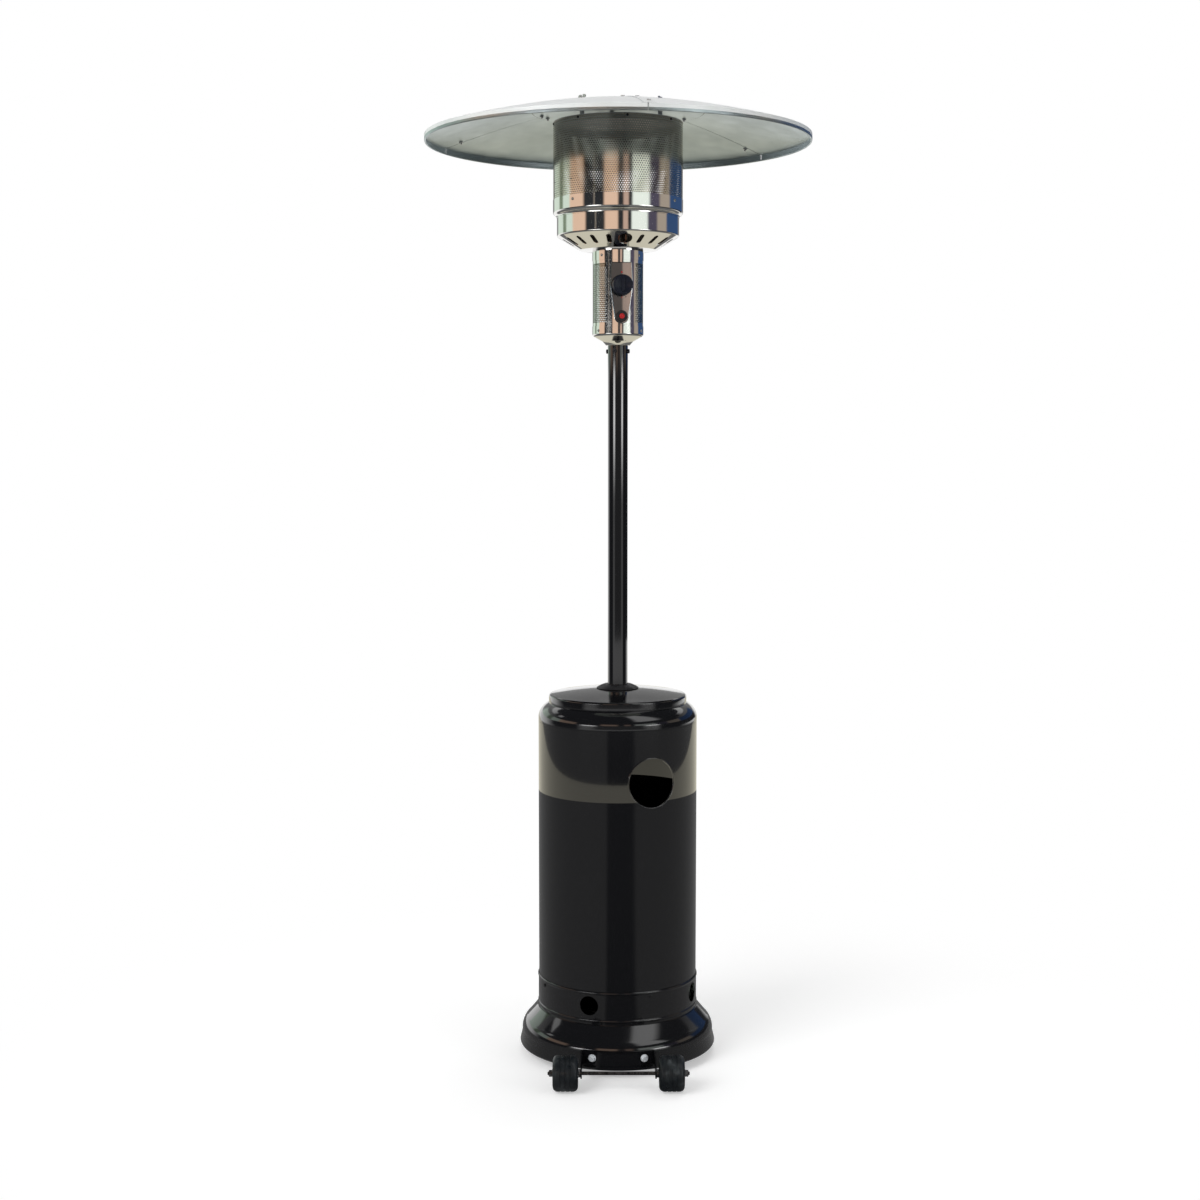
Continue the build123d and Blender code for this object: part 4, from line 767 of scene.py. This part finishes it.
def screw_heads(name, radius, seats, crossed=True):
    """Domed screw heads, one at each seat of (bearing, distance, height), joined into one piece."""
    profile = [(radius, -0.0001), (radius, 0.2 * radius), (0.8 * radius, 0.45 * radius)]
    first = spun(name, profile + [(0.4 * radius, 0.58 * radius), (0, 0.62 * radius)], sides=28)
    if crossed:
        for turn in (45, 135):
            deselect()
            bpy.ops.mesh.primitive_cube_add(
                size=1, scale=(1.3 * radius, 0.3 * radius, 0.4 * radius), location=(0, 0, 0.62 * radius),
                rotation=(0, 0, radians(turn)),
            )
            cut(first, bpy.context.object)
    heads = []
    for bearing, distance, height in seats:
        pick(first)
        bpy.ops.object.duplicate()
        head = bpy.context.object
        head.rotation_euler = (0, radians(90), radians(bearing))
        head.location = outward(bearing, distance, height)
        settle()
        heads.append(head)
    bpy.data.objects.remove(first)
    join(*heads)
    heads[0].name = name
    smooth(heads[0], 40)
    return heads[0]


# Bearing that the controls face: the head stands turned by 7.5 degrees from the wheels.
front = -82.5
cup_seats = [(front + turn, head_radius, 1.6773) for turn in (-57, 57, 147, -147)]
collar_seats = [(front + turn, head_radius, 1.8463) for turn in (-47, 47, 133, -133)]
head_screws = screw_heads("head_screw_heads", 0.0030, cup_seats + collar_seats)
dress(head_screws, "stand", "zinc", zinc, "head_screws")

# ---------------------------------------------------------------- control housing
# Rolled stainless sheet with a staggered pattern of holes, left plain beside the panel and at both
# ends.


def perforated(name, radius, low, high, start, sweep, pitch, web, thickness):
    """Sheet with staggered holes, rolled about the pole's axis from one bearing over a sweep."""
    across = round(radians(sweep) * radius / pitch)
    pitch = radians(sweep) * radius / across
    rows = 2 * round((high - low) / (pitch * sqrt(3)))
    row = (high - low) / rows
    deselect()
    bpy.ops.mesh.primitive_circle_add(vertices=6, radius=pitch / sqrt(3), fill_type="NGON")
    sheet = bpy.context.object
    sheet.name = name
    bpy.ops.object.mode_set(mode="EDIT")
    bpy.ops.mesh.select_all(action="SELECT")
    bpy.ops.transform.resize(value=(1, row / (pitch * sqrt(3) / 2), 1), center_override=(0, 0, 0))
    bpy.ops.mesh.duplicate_move(TRANSFORM_OT_translate={"value": (pitch / 2, row, 0)})
    bpy.ops.object.mode_set(mode="OBJECT")
    for count, step in ((across, (pitch, 0, 0)), (rows // 2, (0, 2 * row, 0))):
        repeat = sheet.modifiers.new("repeat", "ARRAY")
        repeat.count = count
        repeat.use_relative_offset = False
        repeat.use_constant_offset = True
        repeat.constant_offset_displace = step
        bpy.ops.object.modifier_apply(modifier="repeat")
    bpy.ops.object.mode_set(mode="EDIT")
    bpy.ops.mesh.select_all(action="SELECT")
    bpy.ops.mesh.remove_doubles(threshold=0.02 * pitch)
    bpy.ops.mesh.select_all(action="SELECT")
    bpy.ops.mesh.inset(use_individual=True, thickness=web / 2)
    bpy.ops.mesh.delete(type="FACE")
    bpy.ops.object.mode_set(mode="OBJECT")
    for vertex in sheet.data.vertices:
        along, up = vertex.co.x, vertex.co.y
        vertex.co = outward(start + degrees(along / radius), radius, low + up)
    bpy.ops.object.mode_set(mode="EDIT")
    bpy.ops.mesh.select_all(action="SELECT")
    bpy.ops.mesh.remove_doubles(threshold=0.02 * pitch)
    bpy.ops.object.mode_set(mode="OBJECT")
    thicken(sheet, thickness)
    return sheet


def sector(name, profile, start, sweep, steps):
    """Sheet swept over part of a turn: a profile of (radius, height) points about the pole's axis."""
    deselect()
    bpy.ops.mesh.primitive_plane_add(size=0.01)
    sheet = bpy.context.object
    sheet.name = name
    bpy.ops.object.mode_set(mode="EDIT")
    bpy.ops.mesh.select_all(action="SELECT")
    bpy.ops.mesh.merge(type="CENTER")
    here = outward(start, *profile[0])
    bpy.ops.transform.translate(value=here)
    for point in profile[1:]:
        there = outward(start, *point)
        step = tuple(b - a for a, b in zip(here, there))
        bpy.ops.mesh.extrude_region_move(TRANSFORM_OT_translate={"value": step})
        here = there
    bpy.ops.mesh.select_all(action="SELECT")
    bpy.ops.mesh.spin(steps=steps, angle=radians(-sweep), center=(0, 0, 0), axis=(0, 0, 1))
    bpy.ops.mesh.select_all(action="SELECT")
    bpy.ops.mesh.remove_doubles(threshold=0.000005)
    bpy.ops.mesh.normals_make_consistent(inside=False)
    bpy.ops.object.mode_set(mode="OBJECT")
    return sheet


def line_faces(piece, material, facing):
    """Give the faces that a test of their middle and normal picks out a second material."""
    piece.data.materials.append(material)
    for face in piece.data.polygons:
        if facing(face.center, face.normal):
            face.material_index = 1


# Painted shade: the perforated sheets' inward faces are near-black metal, standing for the shade inside the
# head.
painted_shade_inside = finish("painted_shade_inside", (0.06, 0.058, 0.055), metal=1.0, rough=0.5)
vary_roughness(painted_shade_inside, 80, 0.42, 0.6)


def inward(middle, normal):
    """Whether a face looks towards the pole's axis."""
    return middle.x * normal.x + middle.y * normal.y < -0.5 * hypot(middle.x, middle.y)


housing_steel = finish("housing_stainless", (0.52, 0.54, 0.50), metal=1.0, rough=0.14)
vary_roughness(housing_steel, 20, 0.11, 0.2)
vary_colour(housing_steel, 12, [(0.35, (0.46, 0.47, 0.42)), (0.65, (0.56, 0.59, 0.54))])
housing = perforated(
    "control_mesh", 0.0575, 1.6930, 1.8310, front + 34, 292, pitch=0.0052, web=0.0018, thickness=head_sheet
)
dress(housing, "stand", "polished_steel", housing_steel, "control_housing")
# Painted shade on the housing's inward faces.
line_faces(housing, painted_shade_inside, inward)
strip = sector("control_strip", [(0.05765, 1.6900), (0.05765, 1.8340)], front - 35.5, 71, 48)
thicken(strip, 0.0010)
smooth(strip, 30)
dress(strip, "stand", "polished_steel", polished)
for end, low, high in (("lower", 1.6713, 1.6955), ("upper", 1.8285, 1.8503)):
    band = spun_shell(f"control_band_{end}", [(0.05760, low), (0.05760, high)], 0.0009, 30, sides=128)
    dress(band, "stand", "polished_steel", polished)

# ---------------------------------------------------------------- control panel
# Pressed plate of polished stainless on the housing, with a painted reflection by bearing: dark left of
# the knob and pale right of it. Printed marks show the positions of the knob and the igniter.
panel_steel = finish("panel_stainless", (0.80, 0.79, 0.76), metal=1.0, rough=0.10)
vary_roughness(panel_steel, 20, 0.08, 0.14)
roughen(panel_steel, 15, 0.4, 0.004, detail=1)
panel_tree = panel_steel.node_tree
# Painted reflection: the base colour follows the bearing, dark left of the knob and pale right of it.
panel_painted_reflection = bands(panel_tree, place_values(panel_tree)[0], [
    (-16, (0.13, 0.16, 0.18)), (7, (0.13, 0.16, 0.18)), (11, (0.50, 0.54, 0.56)), (30, (0.64, 0.67, 0.68)),
])
panel_tree.links.new(panel_painted_reflection, panel_tree.nodes["Principled BSDF"].inputs["Base Color"])
paint(panel_steel, "control_panel")
black_print = finish("black_print", (0.012, 0.011, 0.012), rough=0.6)
vary_roughness(black_print, 300, 0.5, 0.7)
red_print = finish("red_print", (0.35, 0.008, 0.012), rough=0.5)
vary_roughness(red_print, 300, 0.42, 0.6)


def printed(name, colour, width, height, sideways, up, depth, turn=0):
    """Thin printed mark on the head's front, turned in its plane."""
    deselect()
    bpy.ops.mesh.primitive_cylinder_add(vertices=20, radius=0.5, depth=0.00024)
    mark = bpy.context.object
    mark.name = name
    mark.scale = (width, height, 1)
    settle()
    mark.rotation_euler = (radians(90), radians(turn), 0)
    mark.location = (sideways, -depth, up)
    settle()
    mark.rotation_euler = (0, 0, radians(front + 90))
    settle()
    smooth(mark, 30)
    dress(mark, "stand", "red_plastic" if colour is red_print else "black_plastic", colour)


panel_face, knob_height, tick_radius = 0.0615, 1.7773, 0.0272
printed("red_dot", red_print, 0.0042, 0.0042, 0.0, knob_height + 0.0293, panel_face)
for number, turn in enumerate((-38, -20, 0, 20)):
    colour = red_print if turn == 0 else black_print
    sideways, up = tick_radius * sin(radians(turn)), knob_height - tick_radius * cos(radians(turn))
    printed(f"knob_tick_{number}", colour, 0.0016, 0.0036, sideways, up, panel_face, turn)
for number, sideways in enumerate((-0.0060, -0.0020, 0.0020, 0.0060)):
    lean = 20 * (number - 1.5)
    printed(f"igniter_tick_{number}", black_print, 0.0016, 0.0028, sideways, 1.6885, 0.0577, lean)

# ---------------------------------------------------------------- knob and igniter
# Moulded black knob with finger flutes and a raised grip, on the valve's spindle; black igniter
# bezel with a red push button.
knob_plastic = finish("knob_plastic", (0.008, 0.010, 0.018), rough=0.34, Specular_IOR_Level=0.3)
vary_roughness(knob_plastic, 90, 0.26, 0.42)
roughen(knob_plastic, 800, 0.05, detail=2)
knob_rings = [(0.0041, 0.0690), (0.0080, 0.0690), (0.0080, 0.0705), (0.0190, 0.0705), (0.0190, 0.0653)]
knob_rings += [(0.0236, 0.0653)]
knob_rings += arc((0.0236, 0.0653), (0.02385, 0.0656), (0.0240, 0.0662), 2)
knob_rings += [(0.0224, 0.0845)]
knob_rings += arc((0.0224, 0.0845), (0.0213, 0.0866), (0.0190, 0.0873), 5)
knob_rings += [(0.0175, 0.0872), (0.0160, 0.0864), (0, 0.0864)]
knob = spun("knob_body", knob_rings, sides=112)
flutes = None
for number in range(14):
    deselect()
    bpy.ops.mesh.primitive_cylinder_add(
        vertices=20, radius=0.0022, depth=0.06,
        location=(0.0253 * cos(2 * pi * number / 14), 0.0253 * sin(2 * pi * number / 14), 0.075),
    )
    flute = bpy.context.object
    flutes = join(flutes, flute) if flutes else flute
cut(knob, flutes)
deselect()
bpy.ops.mesh.primitive_cube_add(size=1, scale=(0.0062, 0.0330, 0.0040), location=(0, 0, 0.0868))
grip = bpy.context.object
settle()
round_edges(grip, 0.0014, segments=3)
join(knob, grip)
knob.rotation_euler = (radians(90), 0, 0)
knob.location = (0, 0, knob_height)
settle()
knob.rotation_euler = (0, 0, radians(front + 90))
settle()
smooth(knob, 35)
dress(knob, "gas_knob", "black_plastic", knob_plastic, "gas_knob")
paint(zinc, "knob_spindle", "valve_nut")
paint(black_plastic, "igniter_body", "tilt_switch")
red_plastic = finish("red_plastic", (0.40, 0.012, 0.014), rough=0.3)
vary_roughness(red_plastic, 120, 0.24, 0.4)
paint(red_plastic, "igniter_button")

# ---------------------------------------------------------------- valve and gas lines
# Machined brass valve and fittings, drawn copper lines, the igniter's white insulated lead, and the
# heat-tinted stainless burner. They are the CAD's solids and get only their materials here.
brass = finish("machined_brass", (0.60, 0.43, 0.18), metal=1.0, rough=0.3)
vary_roughness(brass, 160, 0.22, 0.42)
vary_colour(brass, 40, [(0.3, (0.50, 0.34, 0.13)), (0.7, (0.66, 0.48, 0.22))])
paint(brass, "valve_body", "valve_bonnet", "valve_plug", "inlet_pipe", "gas_nozzle")
copper = finish("drawn_copper", (0.60, 0.28, 0.17), metal=1.0, rough=0.3)
vary_colour(copper, 60, [(0.3, (0.42, 0.20, 0.13)), (0.7, (0.66, 0.33, 0.20))])
paint(copper, "pilot_tube", "thermocouple")
insulation = finish("lead_insulation", (0.62, 0.61, 0.57), rough=0.5)
vary_roughness(insulation, 90, 0.42, 0.6)
paint(insulation, "igniter_lead")
paint(plain_steel, "pilot_shelf")
heated = finish("heated_stainless", (0.46, 0.42, 0.36), metal=1.0, rough=0.34)
heat_tints = [(0.3, (0.30, 0.24, 0.24)), (0.5, (0.48, 0.42, 0.33)), (0.7, (0.52, 0.50, 0.46))]
vary_colour(heated, 22, heat_tints)
vary_roughness(heated, 70, 0.26, 0.45)
paint(heated, "burner", "burner_plate", "venturi_tube")

# ---------------------------------------------------------------- burner dish
# Spun stainless bowl: flat bottom, cone with punched slots and the round lighting hole, and an
# upright polished band.
dish_rings = [(0.0142, 1.8603), (0.0860, 1.8603)]
dish_rings += arc((0.0860, 1.8603), (0.0876, 1.8607), (0.0888, 1.8614), 3)
dish_rings += [(0.1365, 1.8898)]
dish_rings += arc((0.1365, 1.8898), (0.1384, 1.8914), (0.1390, 1.8938), 4)
dish_rings += [(0.1390, 1.8942), (0.1390, 1.9393)]
dish = spun("burner_dish_bowl", dish_rings)
thicken(dish, head_sheet)
slot_distance, slot_height, slot_length = 0.11325, 1.875, 0.0165
punches = None
for number in range(1, 20):
    deselect()
    bpy.ops.mesh.primitive_cylinder_add(vertices=24, radius=0.0055, depth=0.07)
    punch = bpy.context.object
    bpy.ops.object.mode_set(mode="EDIT")
    bpy.ops.mesh.select_all(action="DESELECT")
    bpy.ops.object.mode_set(mode="OBJECT")
    for vertex in punch.data.vertices:
        vertex.select = vertex.co.x > 0.00001
    bpy.ops.object.mode_set(mode="EDIT")
    bpy.ops.transform.translate(value=(slot_length, 0, 0))
    bpy.ops.object.mode_set(mode="OBJECT")
    bearing = front + 18 * number
    punch.rotation_euler = (0, 0, radians(bearing))
    punch.location = outward(bearing, slot_distance - slot_length / 2, slot_height)
    settle()
    punches = join(punches, punch) if punches else punch
cut(dish, punches)
deselect()
bpy.ops.mesh.primitive_cylinder_add(
    vertices=64, radius=0.016, depth=0.07, location=outward(front, slot_distance, slot_height)
)
cut(dish, bpy.context.object)
smooth(dish, 28)
dress(dish, "stand", "polished_steel", polished, "burner_dish")

# ---------------------------------------------------------------- flange ring
# Spun ring that hugs the dish's rim and widens through a rounded lip to the face that holds the
# screen.
flange_rings = [(0.1400, 1.9323), (0.1400, 1.9350)]
flange_rings += arc((0.1400, 1.9350), (0.1406, 1.9366), (0.1422, 1.9378), 4)
flange_radius = 0.1479
flange_rings += arc((0.1422, 1.9378), (0.1466, 1.9412), (flange_radius, 1.9460), 7)
flange_rings += [(flange_radius, 1.9464), (flange_radius, 1.9723)]
flange = spun_shell("flange_ring_sheet", flange_rings, head_sheet, 30)
dress(flange, "stand", "polished_steel", polished, "flange_ring")
flange_heads = screw_heads(
    "flange_screw_heads", 0.0032, [(front + turn, flange_radius, 1.9633) for turn in (-51, 51, 129, -129)]
)
dress(flange_heads, "stand", "zinc", zinc, "flange_screws")

# ---------------------------------------------------------------- emitter screen and cap
# Round wall of finely perforated stainless with a plain band at each end, and a tray-shaped cap
# held in its top by domed rivets.
screen_steel = finish("screen_stainless", (0.70, 0.68, 0.60), metal=1.0, rough=0.12)
vary_roughness(screen_steel, 20, 0.10, 0.18)
vary_colour(screen_steel, 9, [(0.35, (0.62, 0.58, 0.50)), (0.65, (0.74, 0.73, 0.66))])
screen_radius, band_radius = 0.1470, 0.14715
for number, start, stands_for in ((1, 8, ["emitter_screen"]), (2, 188, [])):
    screen = perforated(
        f"emitter_mesh_{number}", screen_radius, 1.9690, 2.1445, start, 180,
        pitch=0.0056, web=0.0025, thickness=head_sheet,
    )
    dress(screen, "stand", "polished_steel", screen_steel, *stands_for)
    # Painted shade on the screen's inward faces.
    line_faces(screen, painted_shade_inside, inward)
for end, low, high in (("lower", 1.9459, 1.9735), ("upper", 2.1435, 2.1454)):
    band = spun_shell(f"emitter_band_{end}", [(band_radius, low), (band_radius, high)], 0.0009, 30)
    dress(band, "stand", "polished_steel", polished)
cap_rings = [(0.1461, 2.1334), (0.1461, 2.1446), (0.1453, 2.1454), (0.10, 2.1454), (0, 2.1454)]
cap = spun_shell("emitter_cap_tray", cap_rings, head_sheet, 30)
dress(cap, "stand", "polished_steel", heated, "emitter_cap")
rivet_seats = [(front + 45 * number, band_radius, 2.1400) for number in range(8)]
rivets = screw_heads("cap_rivets", 0.0026, rivet_seats, crossed=False)
dress(rivets, "stand", "zinc", black_zinc)
weld_seats = [(-75.5 + 30 * number, screen_radius, 2.0080) for number in range(12)]
welds = screw_heads("screen_welds", 0.0014, weld_seats, crossed=False)
dress(welds, "stand", "zinc", black_zinc)

# ---------------------------------------------------------------- reflector
# Three satin aluminium panels lap over each other on a round hub plate. Each has a turned-down,
# rolled rim, and the seams are screwed through.
satin = finish("satin_aluminium", (0.55, 0.62, 0.64), metal=1.0, rough=0.36)
vary_roughness(satin, 30, 0.30, 0.44)
vary_colour(satin, 5, [(0.3, (0.43, 0.49, 0.505)), (0.7, (0.61, 0.68, 0.70))])
roughen(satin, 8, 0.25, 0.004, detail=1)


curve_radius, curve_out, curve_up = 2.4, -0.222544, -0.194522


def reflector_height(radius, lift):
    """Height of the reflector's sheet at a radius, lifted off the hub plate's underside."""
    return curve_up + sqrt((curve_radius + lift) ** 2 - (radius - curve_out) ** 2)


def reflector_curve(first, step, count, lift):
    """Points of the reflector's sheet at evenly spaced radii."""
    return [(first + step * k, reflector_height(first + step * k, lift)) for k in range(count)]


panel_sheet = 0.0008
hub_profile = reflector_curve(0.195, -0.0135, 11, panel_sheet)
hub_sheet = spun_shell("hub_plate_sheet", hub_profile + [(0, hub_profile[-1][1])], panel_sheet, 20)
dress(hub_sheet, "stand", "aluminium", satin, "hub_plate")
# Painted shade: dark metal on the hub plate's edge, a thin ring below it, and the laps' undersides.
painted_shade = finish("painted_shade", (0.10, 0.10, 0.10), metal=1.0, rough=0.6)
vary_roughness(painted_shade, 90, 0.5, 0.7)
line_faces(hub_sheet, painted_shade, lambda middle, normal: abs(normal.z) < 0.5)
# A thin dark ring of painted shade along the hub plate's edge, where the plate meets the panels.
edge_height = reflector_height(0.1955, panel_sheet)
edge_rings = [(0.1951, edge_height - 0.0005), (0.1965, edge_height - 0.0003), (0.1965, edge_height)]
hub_shade_ring = spun("hub_plate_shade_ring", edge_rings)
thicken(hub_shade_ring, 0.0003)
dress(hub_shade_ring, "stand", "aluminium", painted_shade)

# Painted light: faces that look up get this near-white copy of the aluminium, lighter than below.
painted_light_top = finish("painted_light_top", (0.94, 0.96, 0.96), metal=0.2, rough=0.4)
vary_roughness(painted_light_top, 30, 0.34, 0.48)
vary_colour(painted_light_top, 6, [(0.3, (0.90, 0.92, 0.92)), (0.7, (0.96, 0.97, 0.97))])
# Painted light on the hub plate: its upward faces get the pale top copy.
hub_sheet.data.materials.append(painted_light_top)
for face in hub_sheet.data.polygons:
    if face.normal.z > 0.5:
        face.material_index = 2
# Painted highlight: the rim's outer face, 7.5 mm down from its top, gets this pale copy.
painted_highlight_rim = finish("painted_highlight_rim", (0.84, 0.86, 0.85), metal=0.2, rough=0.4)
vary_roughness(painted_highlight_rim, 30, 0.34, 0.48)
vary_colour(painted_highlight_rim, 9, [(0.3, (0.74, 0.77, 0.76)), (0.7, (0.88, 0.90, 0.89))])
rim_radius, highlight_depth = 0.4380, 0.0075
rim_top = reflector_height(rim_radius, 0.0009)
for number in range(3):
    seam = front + 120 * number
    profile = reflector_curve(0.060, 0.0236, 17, 0.0017)
    profile[-1] = (0.4374, rim_top + 0.0008)
    roll = rim_top - 0.0125
    profile += [(rim_radius, rim_top + 0.0002), (rim_radius, rim_top - highlight_depth), (rim_radius, roll)]
    profile += arc((rim_radius, roll), (0.4360, rim_top - 0.0145), (0.4340, roll), 6)
    profile += arc((0.4340, roll), (0.43459, rim_top - 0.01109), (0.4360, rim_top - 0.0105), 2)
    panel = sector(f"reflector_sheet_{number + 1}", profile, seam + 0.15, 119.7, 60)
    thicken(panel, panel_sheet)
    smooth(panel, 24)
    dress(panel, "stand", "aluminium", satin, f"reflector_panel_{number + 1}")
    lap_profile = reflector_curve(0.062, 0.0234, 17, 0.0026)
    lap = sector(f"reflector_lap_{number + 1}", lap_profile, seam - 1.2, 3.6, 4)
    thicken(lap, panel_sheet)
    round_edges(lap, 0.0003)
    smooth(lap, 24)
    dress(lap, "stand", "aluminium", satin)
    # Painted shade: the lap's downward faces are dark, so each seam shows as a dark line.
    line_faces(lap, painted_shade, lambda middle, normal: normal.z < -0.5)
    panel.data.materials.append(painted_light_top)
    panel.data.materials.append(painted_highlight_rim)
    lap.data.materials.append(painted_light_top)
    # Painted light: faces that look up get the pale top copy, and the rim's upper outer band the painted
    # highlight.
    for sheet, number_of_top in ((panel, 1), (lap, 2)):
        for face in sheet.data.polygons:
            middle, normal = face.center, face.normal
            outer = middle.x * normal.x + middle.y * normal.y > 0.5 * hypot(middle.x, middle.y)
            if normal.z > 0.5:
                face.material_index = number_of_top
            elif outer and middle.z > rim_top - highlight_depth:
                face.material_index = 2
paint(zinc, "seam_screws", "reflector_studs", "wing_nuts")
